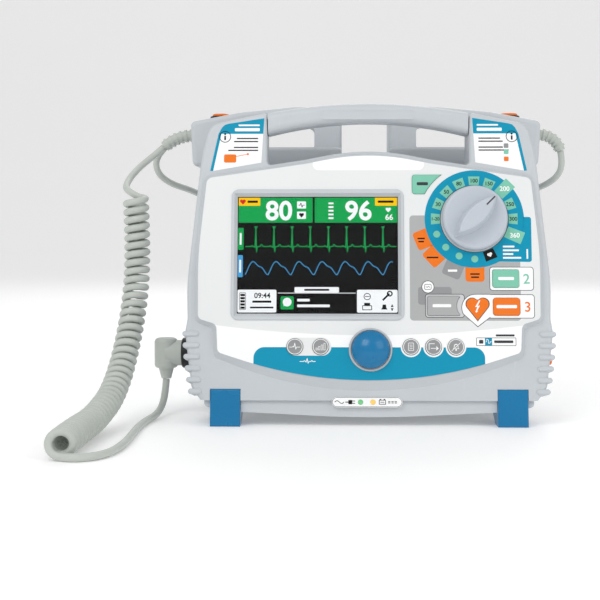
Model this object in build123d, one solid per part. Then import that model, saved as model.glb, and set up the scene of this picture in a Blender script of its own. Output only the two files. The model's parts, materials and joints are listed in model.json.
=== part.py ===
from build123d import *
import math
import os

# A portable monitor-defibrillator with two docked paddles.  Millimetres, +Z up, +X to the
# right of the person facing the display, -Y to that person.  The origin is on the floor, under
# the centre of the object.

# ---- Driving dimensions -------------------------------------------------------------------
LEAN = 10.0                 # the front face leans back by this angle
FRONT_Y = -105.6            # where the plane of the front face meets the floor
BACK_Y = FRONT_Y + 212.0    # back wall
WALL = 3.0                  # housing wall
FOLD_Z = 21.0               # joint between the shells and the bottom tray
FRAME_DROP = 5.0            # the frame lies this far behind the front plane
PARTING = 42.0              # joint between the front and rear shells, behind the front plane
PLATEAU_DROP = 0.6          # the raised plateau lies one overlay thickness behind the front plane
FIT = 0.15                  # gap between fixed pieces
PLAY = 0.25                 # gap round moving keys

CORD_R = 3.0
COIL_R = 11.5
LINK_SPREAD = 3.6           # the two cords of the left paddle leave side by side

EAR_X = 83.6                # inner side of the ears
HANDLE_Y = (FRONT_Y + 50.0, FRONT_Y + 83.0)
HANDLE_TOP = 265.0
HANDLE_UNDER = 249.5

SELECTOR = (86.6, 171.0)    # on the front face: x, and distance up the face
SELECTOR_R = 26.5
SELECTOR_TURN = 45.0        # the grip points to this angle at rest
ENCODER = (1.4, 63.2)
ENCODER_R = 15.2
BEZEL = (-112.6, 29.0, 87.2, 195.6)      # left, right, low and high edges
SCREEN = (-107.7, 24.2, 92.8, 189.9)

ROUND_KEY_R = 6.7
ROUND_KEYS = {
    "key_ecg_lead": (-60.1, 65.6),
    "key_ecg_gain": (-39.1, 65.6),
    "key_print": (34.1, 65.6),
    "key_marker": (52.3, 65.6),
    "key_alarm": (70.5, 65.6),
}
CHARGE_KEY = (100.8, 122.3, 114.3, 128.9)
SHOCK_KEY = (101.0, 122.8, 91.3, 105.7)
CANCEL_KEY = (47.6, 74.4, 91.2, 107.1)
SYNC_KEY = (35.9, 63.0, 191.8, 207.8)
SYNC_CLEAR_R = 45.5         # the sync key curves round the selector at this radius
KEY_TOP = 0.9
KEY_BACK = -2.2
STEM_END = -6.8
BOARD_FRONT = -7.8

STATUS_PLATE = (-1.4, 21.0, 57.4, 8.6)   # centre, length and height
STATUS_LIGHTS = (-6.7, 3.4)

FOOT_X = (104.4, 129.0)
FOOT_TOP = 30.0
SOCKET = (FRONT_Y + 70.0, 54.0)          # paddle socket: y and z on the left side
SENSOR = (FRONT_Y + 70.0, 49.0)          # sensor socket: y and z on the right side
SIDE_REACH = 158.4                       # both side sockets end at this distance from the centre
SIDE_X = 147.6                           # flat part of the side walls

PADDLE_X = (21.0, 137.0)
PADDLE_Y = (FRONT_Y + 112.0, FRONT_Y + 188.0)
PADDLE_MID_Y = FRONT_Y + 150.0
SHOE_TOP = 233.0
ADAPTER_TOP = 207.0
ADAPTER_LOW = 193.6
WELL_FLOOR = 192.0
PADDLE_END = 157.2
RELIEF_Z = 246.0
RELIEF_RINGS = 6
PADDLE_BUTTON = (131.0, PADDLE_MID_Y, 256.0)
PADDLE_BUTTON_R = 8.0
SHOE_CORNER = 12.0
ELECTRODE_INSET = 7.0       # from the sides of the shoe to the electrode plate
ELECTRODE_X = (30.0, 128.0)

REAR_FOOT = (112.0, BACK_Y - 30.0)
REAR_FOOT_R = 11.0
ECG_SOCKET = (FRONT_Y + 108.0, 54.0)     # y and z on the left side
INLET = (46.0, 78.0, 46.0, 70.0)         # left, right, low and high edges
STUD = (100.0, 58.0)                     # x and z on the back
STUD_R = 5.0
VENT_ROWS = 6
GRILLE_SPOT = (60.0, FRONT_Y + 100.0)    # speaker and its holes, in the bottom
BATTERY = (-110.0, -30.0, 38.0, 94.0)    # left, right, low and high edges
BATTERY_DEPTH = 88.0
DOOR_Y = (FRONT_Y + 112.0, FRONT_Y + 182.0)
DOOR_Z = (62.0, 122.0)

FACE = Plane(
    origin=(0, FRONT_Y, 0),
    x_dir=(1, 0, 0),
    z_dir=(0, -math.cos(math.radians(LEAN)), math.sin(math.radians(LEAN))),
)

UPWARD = (Align.CENTER, Align.CENTER, Align.MIN)     # a cylinder that starts at its own plane

# ---- Outlines on the front face: x, distance up the face, corner radius ---------------------
FRAME_HALF = [
    (0, 10, 0), (128, 10, 0), (144.6, 33, 9), (150.4, 78, 9), (148.6, 89, 9), (149.4, 118, 200),
    (139.8, 215, 90), (137.4, 231, 30), (132.0, 252.5, 13), (84.4, 262.6, 2.5),
    (EAR_X, 217.6, 3), (52, 222.5, 60), (0, 233, 177),
]
PANEL_FOOT_HALF = [
    (0, 8.9, 300), (126.6, 57.2, 6), (127.4, 81, 6), (142.3, 86, 6), (143.0, 140, 300),
    (136.2, 208.2, 7), (52, 220.3, 60), (0, 230.8, 177),
]
PANEL_TOP_HALF = [
    (0, 20.5, 340), (123.4, 60.8, 5), (124.5, 83.6, 5), (139.6, 88.2, 5), (140.2, 140, 300),
    (133.6, 205.6, 6), (52, 217.6, 60), (0, 228, 177),
]
PLATEAU_CAVITY_HALF = [
    (0, 27, 330), (119.4, 66, 4), (120.4, 87.5, 4), (135.4, 92, 4), (135.8, 140, 200),
    (130, 200, 4), (0, 212, 0),
]
CAVITY_HALF = [(0, 38, 0), (138, 38, 6), (144, 80, 20), (145, 118, 100), (136, 205, 6), (0, 212, 0)]

# ---- Outline of the rear shell, seen from the front: x, z, corner radius --------------------
REAR_HALF = [
    (0, FOLD_Z, 0), (134, FOLD_Z, 4), (144.6, 34, 10), (SIDE_X, 52, 40), (SIDE_X, 122, 300),
    (139.3, 205, 8), (52, 211.8, 60), (0, 222.2, 177),
]
REAR_CAVITY_HALF = [
    (0, FOLD_Z - 1, 0), (131, FOLD_Z - 1, 0), (132, FOLD_Z + 1, 3), (141.4, 34, 8), (144.4, 52, 40),
    (144.4, 122, 300), (138.6, WELL_FLOOR - WALL, 2), (0, WELL_FLOOR - WALL, 0),
]
TRAY_HALF = [(0, 6.4, 900), (120, 12.2, 30), (134, 16, 3), (134, FOLD_Z, 0), (0, FOLD_Z, 0)]


def closed_outline(half):
    """A face from the right half of a symmetric outline, which starts and ends on the axis."""
    middle = [point for point in half if point[0] > 0]
    ring = list(half) + [(-x, y, r) for x, y, r in reversed(middle)]
    turning = [point for point in ring if not (point[0] == 0 and point[2] == 0)]
    radii = [r for x, y, r in turning]
    return make_face(FilletPolyline(*[(x, y) for x, y, r in turning], radius=radii, close=True))


def slab(face, low, high):
    """The face, made solid between two heights above its own plane."""
    return extrude(Pos(0, 0, low) * face, high - low)


def block(x_span, y_span, z_span, radius=0.0):
    """A box between limits on each axis, with its upright edges rounded."""
    size = [high - low for low, high in (x_span, y_span, z_span)]
    middle = [(low + high) / 2 for low, high in (x_span, y_span, z_span)]
    if radius:
        body = extrude(RectangleRounded(size[0], size[1], radius), size[2] / 2, both=True)
    else:
        body = Box(*size)
    return Pos(*middle) * body


def rod(start, direction, radius, length):
    """A cylinder from a start point along a direction."""
    return extrude(Plane(origin=start, z_dir=direction) * Circle(radius), length)


def pad(edges, low, high, radius=2.0, grow=0.0):
    """A rounded plate on the front face, from its left, right, low and high edges."""
    left, right, bottom, top = edges
    spans = ((left - grow, right + grow), (bottom - grow, top + grow), (low, high))
    return block(*spans, radius=radius + grow)


def on_face(body):
    """From the front face's own axes to the object's."""
    return FACE.location * body


def side_profile(points, x_span):
    """An outline in y and z, made solid between two x values."""
    face = make_face(Polyline(*[(0, y, z) for y, z in points], close=True))
    return Pos(x_span[0], 0, 0) * extrude(face, x_span[1] - x_span[0], dir=(1, 0, 0))


def front_profile(face, y_low, y_high):
    """A face drawn in x and z, made solid between two y values."""
    upright = Plane(origin=(0, y_low, 0), x_dir=(1, 0, 0), z_dir=(0, -1, 0))
    return extrude(upright * face, y_low - y_high)


def save(body, node):
    export_step(body, f"parts/{node}.step")


# ---- Keys ---------------------------------------------------------------------------------
def key_blank(name, low, high, grow=0.0):
    """The plan shape of a key, as a plate between two heights; grown, it cuts the key's hole."""
    if name in ROUND_KEYS:
        x, s = ROUND_KEYS[name]
        return Pos(x, s, low) * Cylinder(ROUND_KEY_R + grow, high - low, align=UPWARD)
    if name == "key_charge":
        return pad(CHARGE_KEY, low, high, 1.6, grow)
    if name == "key_shock":
        return pad(SHOCK_KEY, low, high, 2.4, grow)
    if name == "key_cancel":
        plate = pad(CANCEL_KEY, low, high, 1.6, grow)
        middle = (CANCEL_KEY[2] + CANCEL_KEY[3]) / 2
        scoop = Pos(CANCEL_KEY[1] + 8.5, middle, low) * Cylinder(11.5 - grow, high - low, align=UPWARD)
        return plate - scoop
    plate = pad(SYNC_KEY, low, high, 2.4, grow)
    clear = Pos(*SELECTOR, low) * Cylinder(SYNC_CLEAR_R - grow, high - low, align=UPWARD)
    return plate - clear


KEY_STEMS = {
    **ROUND_KEYS,
    "key_charge": (111.5, 121.6),
    "key_shock": (111.9, 98.5),
    "key_cancel": (59.0, 99.2),
    "key_sync": (42.0, 200.0),
}


def key(name):
    cap = key_blank(name, KEY_BACK, KEY_TOP)
    cap = chamfer(cap.faces().sort_by(Axis.Z)[-1].edges(), 0.4)
    x, s = KEY_STEMS[name]
    stem = Pos(x, s, STEM_END) * Cylinder(1.6, KEY_BACK - STEM_END, align=UPWARD)
    return on_face(cap + stem)


# ---- Housing ------------------------------------------------------------------------------
def side_ribs():
    """Finger ribs that wrap both lower corners of the front shell."""
    ribs = []
    for i in range(6):
        s = 76.5 - 9.4 * i
        reach = 152.4 - 0.28 * i - 0.16 * i * i
        inner = 138.7 - 0.6 * i
        rib = SlotOverall(reach - inner, 4.6)
        for side in (-1, 1):
            ribs.append(Pos(side * (reach + inner) / 2, s) * rib)
    bars = [extrude(Pos(0, 0, -34) * rib, 30.4) for rib in ribs]
    return [chamfer(bar.faces().sort_by(Axis.Z)[-1].edges(), 1.0) for bar in bars]


def foot_notches():
    cuts = []
    for side in (-1, 1):
        x_span = sorted((side * (FOOT_X[0] - 0.2), side * (FOOT_X[1] + 0.2)))
        cuts.append(block(x_span, (FRONT_Y - 20, FRONT_Y + 42.4), (-1, FOOT_TOP + 0.2)))
    return cuts


def handle_tenons(grow=0.0):
    tenons = []
    for side in (-1, 1):
        x_span = sorted((side * (EAR_X - 1), side * (EAR_X + 12 + grow)))
        y_span = (HANDLE_Y[0] + 10 - grow, HANDLE_Y[1] - 9 + grow)
        tenons.append(block(x_span, y_span, (243.5 - grow, 252.5 + grow)))
    return tenons


def front_shell():
    frame = slab(closed_outline(FRAME_HALF), -PARTING, -FRAME_DROP)
    frame = fillet(frame.faces().sort_by(Axis.Z)[-1].edges(), 3.0)
    foot = Pos(0, 0, -FRAME_DROP - 0.2) * closed_outline(PANEL_FOOT_HALF)
    top = Pos(0, 0, -PLATEAU_DROP) * closed_outline(PANEL_TOP_HALF)
    shell = frame + loft([foot, top], ruled=True) + side_ribs()
    cavity = slab(closed_outline(CAVITY_HALF), -PARTING - 1, -FRAME_DROP - WALL)
    plateau_cavity = slab(closed_outline(PLATEAU_CAVITY_HALF), -FRAME_DROP - WALL - 2,
                          -PLATEAU_DROP - WALL)
    shell -= cavity
    shell -= plateau_cavity
    ring = Pos(*ENCODER, -PLATEAU_DROP) * (
        Cylinder(17.6, 1.6, align=UPWARD) - Cylinder(16.2, 1.6, align=UPWARD)
    )
    shell += ring
    shell -= pad(BEZEL, -20, 10, 5.0, -1.0 + FIT)
    shell -= Pos(*SELECTOR, -20) * Cylinder(4.8, 30, align=UPWARD)
    shell -= Pos(*ENCODER, -20) * Cylinder(3.8, 30, align=UPWARD)
    for name in KEY_STEMS:
        shell -= key_blank(name, -20, 10, PLAY)
    x, s, length, height = STATUS_PLATE
    shell -= Pos(x, s, -9) * extrude(SlotOverall(length + 2 * FIT, height + 2 * FIT), 10)
    shell = on_face(shell) - block((-200, 200), (-200, 200), (-50, FOLD_Z))
    for cut in foot_notches() + handle_tenons(FIT):
        shell -= cut
    return shell


def bottom_tray():
    tray = front_profile(closed_outline(TRAY_HALF), FRONT_Y + 2, BACK_Y - 4)
    tray -= on_face(block((-200, 200), (-60, 120), (-FRAME_DROP - 3, 60)))
    tray -= block((-124, 124), (FRONT_Y + 56, BACK_Y - 14), (13, 30))
    for cut in foot_notches():
        tray -= cut
    for side in (-1, 1):
        tray -= rod((side * REAR_FOOT[0], REAR_FOOT[1], -5), (0, 0, 1), REAR_FOOT_R + FIT, 15)
    x, s, length, height = STATUS_PLATE
    tray -= on_face(Pos(x, s, -9) * extrude(SlotOverall(length + 2 * FIT, height + 2 * FIT), 10))
    for row in range(-2, 3):
        for column in range(-2, 3):
            spot = (GRILLE_SPOT[0] + 6 * column, GRILLE_SPOT[1] + 6 * row, 5)
            tray -= rod(spot, (0, 0, 1), 1.5, 12)
    return tray


def rear_shell():
    shell = front_profile(closed_outline(REAR_HALF), FRONT_Y + 20, BACK_Y)
    shell = fillet(shell.faces().sort_by(Axis.Y)[-1].edges(), 5.0)
    shell -= on_face(block((-250, 250), (-100, 400), (-PARTING, 200)))
    shell -= front_profile(closed_outline(REAR_CAVITY_HALF), FRONT_Y, BACK_Y - WALL)
    shell -= block((-130, 130), (FRONT_Y, FRONT_Y + 98), (WELL_FLOOR - WALL - 1, 200), 4)
    for side in (-1, 1):
        x_span = sorted((side * 18.5, side * 137.6))
        shell -= block(x_span, (PADDLE_Y[0] - 1.5, PADDLE_Y[1] + 1.5), (WELL_FLOOR, 240), 8)
    shell -= rod((-130, *SOCKET), (-1, 0, 0), 10.5 + FIT, 40)
    shell -= rod((-130, *ECG_SOCKET), (-1, 0, 0), 8 + FIT, 40)
    shell -= rod((130, *SENSOR), (1, 0, 0), 4.5 + FIT, 40)
    left, right, low, high = BATTERY
    shell -= block((left - 0.4, right + 0.4), (BACK_Y - 20, BACK_Y + 5), (low - 0.4, high + 0.4))
    left, right, low, high = INLET
    shell -= block((left - FIT, right + FIT), (BACK_Y - 20, BACK_Y + 5), (low - FIT, high + FIT))
    shell -= rod((STUD[0], BACK_Y - 20, STUD[1]), (0, 1, 0), STUD_R + FIT, 30)
    for row in range(VENT_ROWS):
        z = 124 + 7 * row
        for x in (-62, 62):
            shell -= block((x - 24, x + 24), (BACK_Y - 10, BACK_Y + 5), (z, z + 3))
    shell -= block((140, 160), (DOOR_Y[0] - 0.3, DOOR_Y[1] + 0.3), (DOOR_Z[0] - 0.3, DOOR_Z[1] + 0.3))
    return shell


def carry_handle():
    top = ThreePointArc((-EAR_X + FIT, 257.2), (0, HANDLE_TOP), (EAR_X - FIT, 257.2))
    under = ThreePointArc((EAR_X - FIT, 239.0), (0, HANDLE_UNDER), (-EAR_X + FIT, 239.0))
    ends = [Line(top @ 1, under @ 0), Line(under @ 1, top @ 0)]
    bar = front_profile(make_face([top, ends[0], under, ends[1]]), *HANDLE_Y)
    long_edges = bar.edges().filter_by(GeomType.CIRCLE)
    bar = fillet(long_edges, 6.0)
    badge = block((-38, 38), (HANDLE_Y[0] - 0.5, HANDLE_Y[0] + 2), (251.5, 258.5))
    bar += badge
    for tenon in handle_tenons():
        bar += tenon
    return bar


def foot(side):
    low_y = FRONT_Y + 4
    high_y = low_y + FOOT_TOP * math.tan(math.radians(LEAN))
    points = [(low_y, 0), (high_y, FOOT_TOP), (FRONT_Y + 42, FOOT_TOP), (FRONT_Y + 42, 8.5),
              (FRONT_Y + 24, 0)]
    body = side_profile(points, sorted((side * FOOT_X[0], side * FOOT_X[1])))
    corners = body.edges().filter_by(lambda e: e.center().Y < FRONT_Y + 12 and e.length > 5)
    return fillet(corners, 1.6)


def rear_feet():
    return Compound([
        rod((side * REAR_FOOT[0], REAR_FOOT[1], 0), (0, 0, 1), REAR_FOOT_R, 10) for side in (-1, 1)
    ])


def front_overlay():
    sheet = slab(offset(closed_outline(PANEL_TOP_HALF), -0.4), -PLATEAU_DROP, 0)
    sheet -= pad(BEZEL, -5, 5, 5.0, -1.0 + FIT)
    sheet -= Pos(*SELECTOR, -5) * Cylinder(8, 10, align=UPWARD)
    sheet -= Pos(*ENCODER, -5) * Cylinder(17.8, 10, align=UPWARD)
    for name in KEY_STEMS:
        sheet -= key_blank(name, -5, 5, PLAY)
    return on_face(sheet)


# ---- Display ------------------------------------------------------------------------------
def display_bezel():
    rim = pad(BEZEL, 0, 1.2, 6.0) + pad(BEZEL, -PLATEAU_DROP - WALL, 0, 5.0, -1.0)
    rim = chamfer(rim.faces().sort_by(Axis.Z)[-1].edges(), 0.6)
    left, right, low, high = SCREEN
    middle = ((left + right) / 2, (low + high) / 2)
    mouth = Pos(*middle, 1.2) * Rectangle(right - left + 5, high - low + 5)
    throat = Pos(*middle, -2.0) * Rectangle(right - left, high - low)
    rim -= loft([throat, mouth], ruled=True)
    rim -= pad(SCREEN, -10, -1.9, 0.5)
    return on_face(rim)


def display_window():
    return on_face(pad(SCREEN, -3.4, -2.0, 0.4, -0.1))


def lcd_module():
    return on_face(pad(SCREEN, -13.0, -4.0, 2.0, 2.0) + pad(SCREEN, -4.0, -3.5, 0.3, -0.3))


# ---- Selector and encoder -----------------------------------------------------------------
def selector_knob():
    base = Pos(0, 0, 0.8) * Cylinder(SELECTOR_R, 8.2, align=UPWARD)
    base = fillet(base.faces().sort_by(Axis.Z)[-1].edges(), 3.0)
    half_length, half_width = 25.0, 9.5
    bow = (half_length ** 2 - half_width ** 2) / (2 * half_width)
    lens = Pos(0, -bow) * Circle(bow + half_width) & Pos(0, bow) * Circle(bow + half_width)
    grip = extrude(Pos(0, 0, 8.0) * lens, 13.0, taper=12)
    grip = fillet(grip.faces().sort_by(Axis.Z)[-1].edges(), 1.6)
    knob = base + grip
    knob -= Cylinder(3.0, 12, align=UPWARD)
    return on_face(Pos(*SELECTOR, 0) * Rot(0, 0, SELECTOR_TURN) * knob)


def selector_shaft():
    return on_face(Pos(*SELECTOR, -19) * Cylinder(3.0, 31, align=UPWARD))


def selector_switch():
    body = block((-15, 15), (-15, 15), (-21, -9.6), 2)
    body += Pos(0, 0, -9.6) * Cylinder(4.6, 9.2, align=UPWARD)
    body -= Pos(0, 0, -19.2) * Cylinder(3.06, 30, align=UPWARD)
    return on_face(Pos(*SELECTOR, 0) * body)


def encoder_knob():
    crown, dome_r = 12.0, 19.0
    knob = Pos(0, 0, 1.4) * Cylinder(ENCODER_R, 12, align=UPWARD)
    knob &= Pos(0, 0, crown - dome_r) * Sphere(dome_r)
    knob -= Cylinder(2.06, 7.6, align=UPWARD)
    return on_face(Pos(*ENCODER, 0) * knob)


def encoder_plunger():
    return on_face(Pos(*ENCODER, -13.5) * Cylinder(2.0, 20.8, align=UPWARD))


def encoder_switch():
    body = block((-7, 7), (-7, 7), (-17, -9.6), 1)
    body += Pos(0, 0, -9.6) * Cylinder(3.6, 9.2, align=UPWARD)
    body -= Pos(0, 0, -15.4) * Cylinder(2.06, 20, align=UPWARD)
    return on_face(Pos(*ENCODER, 0) * body)


# ---- Status lights ------------------------------------------------------------------------
def led_plate():
    x, s, length, height = STATUS_PLATE
    plate = Pos(x, s, -8.8) * extrude(SlotOverall(length, height), 4.8)
    plate = chamfer(plate.faces().sort_by(Axis.Z)[-1].edges(), 0.3)
    for light_x in STATUS_LIGHTS:
        plate -= Pos(light_x, s, -8.8) * Cylinder(2.2, 10, align=UPWARD)
    return on_face(plate)


def status_leds():
    s = STATUS_PLATE[1]
    lights = []
    for x in STATUS_LIGHTS:
        light = Pos(x, s, -8.6) * Cylinder(2.1, 5.0, align=UPWARD)
        lights.append(on_face(chamfer(light.faces().sort_by(Axis.Z)[-1].edges(), 0.4)))
    return Compound(lights)


# ---- Inside -------------------------------------------------------------------------------
def keypad_board():
    board = pad((-68, 80, 57, 76), BOARD_FRONT - 1.6, BOARD_FRONT, 1)
    board += pad((34, 117, 70, 199), BOARD_FRONT - 1.6, BOARD_FRONT, 1)
    board += pad((34, 62, 190, 205), BOARD_FRONT - 1.6, BOARD_FRONT, 1)
    board += pad((100, 131, 98, 194), BOARD_FRONT - 1.6, BOARD_FRONT, 1)
    board -= Pos(*SELECTOR, -20) * Cylinder(4.8, 30, align=UPWARD)
    board -= Pos(*ENCODER, -20) * Cylinder(3.8, 30, align=UPWARD)
    return on_face(board)


def main_board():
    return on_face(pad((-126, 126, 44, 194), -26.6, -25.0, 2))


def chassis_plate():
    plate = pad((-130, 130, 42, 198), -35.6, -34.0, 3)
    for x in (-60, 0, 60):
        plate -= pad((x - 16, x + 16, 90, 150), -40, -30, 8)
    return on_face(plate)


def power_supply():
    case = block((-14, 84), (FRONT_Y + 110, FRONT_Y + 180), (36, 78), 2)
    for i in range(7):
        z = 42 + 5 * i
        case -= block((80, 90), (FRONT_Y + 120, FRONT_Y + 170), (z, z + 2))
    return case


def hv_capacitor():
    can = rod((-96, FRONT_Y + 150, 142), (1, 0, 0), 27, 88)
    can = fillet(can.faces().sort_by(Axis.X)[0].edges(), 3)
    for y in (-9, 9):
        can += rod((-8, FRONT_Y + 150 + y, 142), (1, 0, 0), 4, 8)
    return can


def speaker():
    cone = rod((*GRILLE_SPOT, 14), (0, 0, 1), 18, 4)
    return cone + rod((*GRILLE_SPOT, 18), (0, 0, 1), 10, 9)


# ---- Paddles ------------------------------------------------------------------------------
def mirror_side(side, body):
    return body if side > 0 else mirror(body, about=Plane.YZ)


def paddle_body(side):
    """A hand grip joined to a flat shoe by an inner post and an outer block."""
    loop = FilletPolyline(
        (21, 225), (21, 268.5), (60, 270.5), (112, 265.5), (PADDLE_END, 257), (155.5, 217),
        (139.5, 217), (135, 225), radius=[1, 8, 80, 80, 5, 5, 3, 1], close=True)
    hole = FilletPolyline(
        (45.6, SHOE_TOP), (45.6, 254), (70, 254.5), (112, 251), (117, SHOE_TOP),
        radius=[3, 7, 60, 7, 3], close=True)
    grip = front_profile(make_face(loop), PADDLE_MID_Y - 21, PADDLE_MID_Y + 21)
    grip = fillet(grip.faces().filter_by(Axis.Y).edges(), 4.0)
    shoe = block(PADDLE_X, PADDLE_Y, (ADAPTER_TOP, SHOE_TOP), SHOE_CORNER)
    shoe = fillet(shoe.faces().sort_by(Axis.Z)[-1].edges(), 3.0)
    body = grip + shoe
    body -= front_profile(make_face(hole), PADDLE_Y[0] - 5, PADDLE_Y[1] + 5)
    for y in PADDLE_Y:
        body += block((36.5, 38.5), (y - 0.8, y + 0.8), (ADAPTER_TOP + 2, SHOE_TOP - 4))
    body -= rod(PADDLE_BUTTON, (0, 0, 1), PADDLE_BUTTON_R + 0.3, 12)
    body -= paddle_boot(side)
    return mirror_side(side, body)


def electrode_plate(z_span, grow=0.0):
    """The plan shape of the large electrode; grown, it cuts the recess that holds it."""
    x_span = (ELECTRODE_X[0] - grow, ELECTRODE_X[1] + grow)
    y_span = (PADDLE_Y[0] + ELECTRODE_INSET - grow, PADDLE_Y[1] - ELECTRODE_INSET + grow)
    return block(x_span, y_span, z_span, 8)


def paddle_adapter(side):
    """The clip-on shoe with the large electrode."""
    shoe = block(PADDLE_X, PADDLE_Y, (ADAPTER_LOW, ADAPTER_TOP - FIT), SHOE_CORNER)
    shoe = chamfer(shoe.faces().sort_by(Axis.Z)[0].edges(), 2.0)
    return mirror_side(side, shoe - electrode_plate((ADAPTER_LOW - 1, ADAPTER_LOW + 2), FIT))


def paddle_electrode(side):
    return mirror_side(side, electrode_plate((ADAPTER_LOW - 0.1, ADAPTER_LOW + 1.9)))


def paddle_button(side):
    x, y, z = PADDLE_BUTTON
    cap = rod((x, y, z + 2.4), (0, 0, 1), PADDLE_BUTTON_R, 7.2)
    cap = fillet(cap.faces().sort_by(Axis.Z)[-1].edges(), 1.5)
    return mirror_side(side, cap)


def relief_path(side):
    """The boot leaves the block level; the right one droops more than the left one."""
    if side > 0:
        arc = ThreePointArc((PADDLE_END - 3, RELIEF_Z), (170.0, 243.2), (178.2, 232.0))
    else:
        arc = ThreePointArc((PADDLE_END - 3, RELIEF_Z), (170.0, 243.8), (183.0, 236.0))
    return Plane(origin=(0, PADDLE_MID_Y, 0), x_dir=(1, 0, 0), z_dir=(0, -1, 0)) * arc


def paddle_boot(side):
    """A ribbed rubber boot, wide enough on the left for two cords."""
    width = CORD_R * 2 + 3 + (0 if side > 0 else 2 * LINK_SPREAD)
    height = CORD_R * 2 + 3
    path = relief_path(side)
    start = Plane(origin=path @ 0, x_dir=(0, 1, 0), z_dir=path % 0)
    boot = sweep(start * RectangleRounded(width, height, height * 0.49), path=path)
    for i in range(RELIEF_RINGS):
        t = 0.1 + 0.15 * i
        here = Plane(origin=path @ t, x_dir=(0, 1, 0), z_dir=path % t)
        ring = extrude(here * RectangleRounded(width + 2, height + 2, (height + 2) * 0.49), 2.0)
        boot += ring
    return boot


def paddle_relief(side):
    return mirror_side(side, paddle_boot(side))


def paddle_contacts():
    plates = []
    for side in (-1, 1):
        x_span = sorted((side * 50, side * 108))
        plates.append(block(x_span, (PADDLE_MID_Y - 20, PADDLE_MID_Y + 20), (WELL_FLOOR, 193.2), 6))
    return Compound(plates)


# ---- Sockets and service items ------------------------------------------------------------
def paddle_socket():
    ring = rod((-SIDE_X, *SOCKET), (-1, 0, 0), 13, SIDE_REACH - SIDE_X)
    ring = chamfer(ring.faces().sort_by(Axis.X)[0].edges(), 1.0)
    ring += rod((-SIDE_X + 14, *SOCKET), (-1, 0, 0), 10.5, 14)
    return ring - rod((-SIDE_REACH + 9, *SOCKET), (-1, 0, 0), 9.4, 20)


def elbow_plug():
    y, z = SOCKET
    barrel = rod((-SIDE_REACH - FIT, y, z), (-1, 0, 0), 11, 14)
    nose = rod((-SIDE_REACH + 8.8, y, z), (-1, 0, 0), 9.2, 12)
    knuckle_x = -SIDE_REACH - 14
    upright = Pos(knuckle_x, y, z) * Cylinder(10, 26, align=(Align.CENTER, Align.CENTER, Align.CENTER))
    upright = fillet(upright.faces().sort_by(Axis.Z)[-1].edges(), 4)
    upright = fillet(upright.faces().sort_by(Axis.Z)[0].edges(), 3)
    boot = Pos(knuckle_x, y, z - 13) * Rot(180, 0, 0) * Cone(6.5, 4.2, 9, align=UPWARD)
    return barrel + nose + upright + boot


def ecg_socket():
    y, z = ECG_SOCKET
    body = rod((-SIDE_X + 12, y, z), (-1, 0, 0), 8, 12) + rod((-SIDE_X, y, z), (-1, 0, 0), 10, 1.2)
    body -= rod((-SIDE_X + 10, y, z), (-1, 0, 0), 6.5, 20)
    for i in range(6):
        turn = math.radians(60 * i)
        pin = (-SIDE_X + 10, y + 4 * math.cos(turn), z + 4 * math.sin(turn))
        body += rod(pin, (-1, 0, 0), 0.7, 8)
    return body


def sensor_socket():
    body = rod((SIDE_X - 10, *SENSOR), (1, 0, 0), 4.5, 12) + rod((SIDE_X, *SENSOR), (1, 0, 0), 6, 5)
    tip = rod((SIDE_X + 5, *SENSOR), (1, 0, 0), 5, SIDE_REACH - SIDE_X - 5)
    return body + fillet(tip.faces().sort_by(Axis.X)[-1].edges(), 2.5)


def mains_inlet():
    left, right, low, high = INLET
    middle = (left + right) / 2
    body = block((left, right), (BACK_Y - 18, BACK_Y), (low, high))
    mouth = block((left + 4, right - 4), (BACK_Y - 15, BACK_Y + 2), (low + 4, high - 4))
    body -= chamfer(mouth.edges().filter_by(Axis.Y), 3)
    for x, z in ((middle - 6, low + 10), (middle, low + 14), (middle + 6, low + 10)):
        body += block((x - 1, x + 1), (BACK_Y - 16, BACK_Y - 2), (z - 2, z + 2))
    return body


def equipotential_stud():
    x, z = STUD
    groove = rod((x, BACK_Y - 6, z), (0, 1, 0), 4, 8) - rod((x, BACK_Y - 6, z), (0, 1, 0), 2, 8)
    return rod((x, BACK_Y - 14, z), (0, 1, 0), STUD_R, 13.9) - groove


def battery_pack():
    left, right, low, high = BATTERY
    pack = block((left, right), (BACK_Y - BATTERY_DEPTH, BACK_Y), (low, high))
    pack = fillet(pack.edges().filter_by(Axis.Y), 3)
    middle = (left + right) / 2
    pack -= block((middle - 24, middle + 24), (BACK_Y - 12, BACK_Y + 2), (low + 12, low + 34))
    for i in range(5):
        z = high - 8 - 3 * i
        pack -= block((middle - 20, middle + 20), (BACK_Y - 1, BACK_Y + 2), (z, z + 1.2))
    return pack


def recorder_module():
    y_span = (DOOR_Y[0] + 2, DOOR_Y[1] - 2)
    case = block((92, SIDE_X - 4), y_span, (DOOR_Z[0] + 3, DOOR_Z[1] - 2))
    roll = rod((118, DOOR_Y[0] + 6, 92), (0, 1, 0), 22, DOOR_Y[1] - DOOR_Y[0] - 12)
    bay = block((118, SIDE_X), (DOOR_Y[0] + 6, DOOR_Y[1] - 6), (70, 114))
    return case - roll - bay


def paper_roll():
    roll = rod((118, DOOR_Y[0] + 7, 92), (0, 1, 0), 20, DOOR_Y[1] - DOOR_Y[0] - 14)
    return roll - rod((118, DOOR_Y[0], 92), (0, 1, 0), 6, 100)


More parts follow.
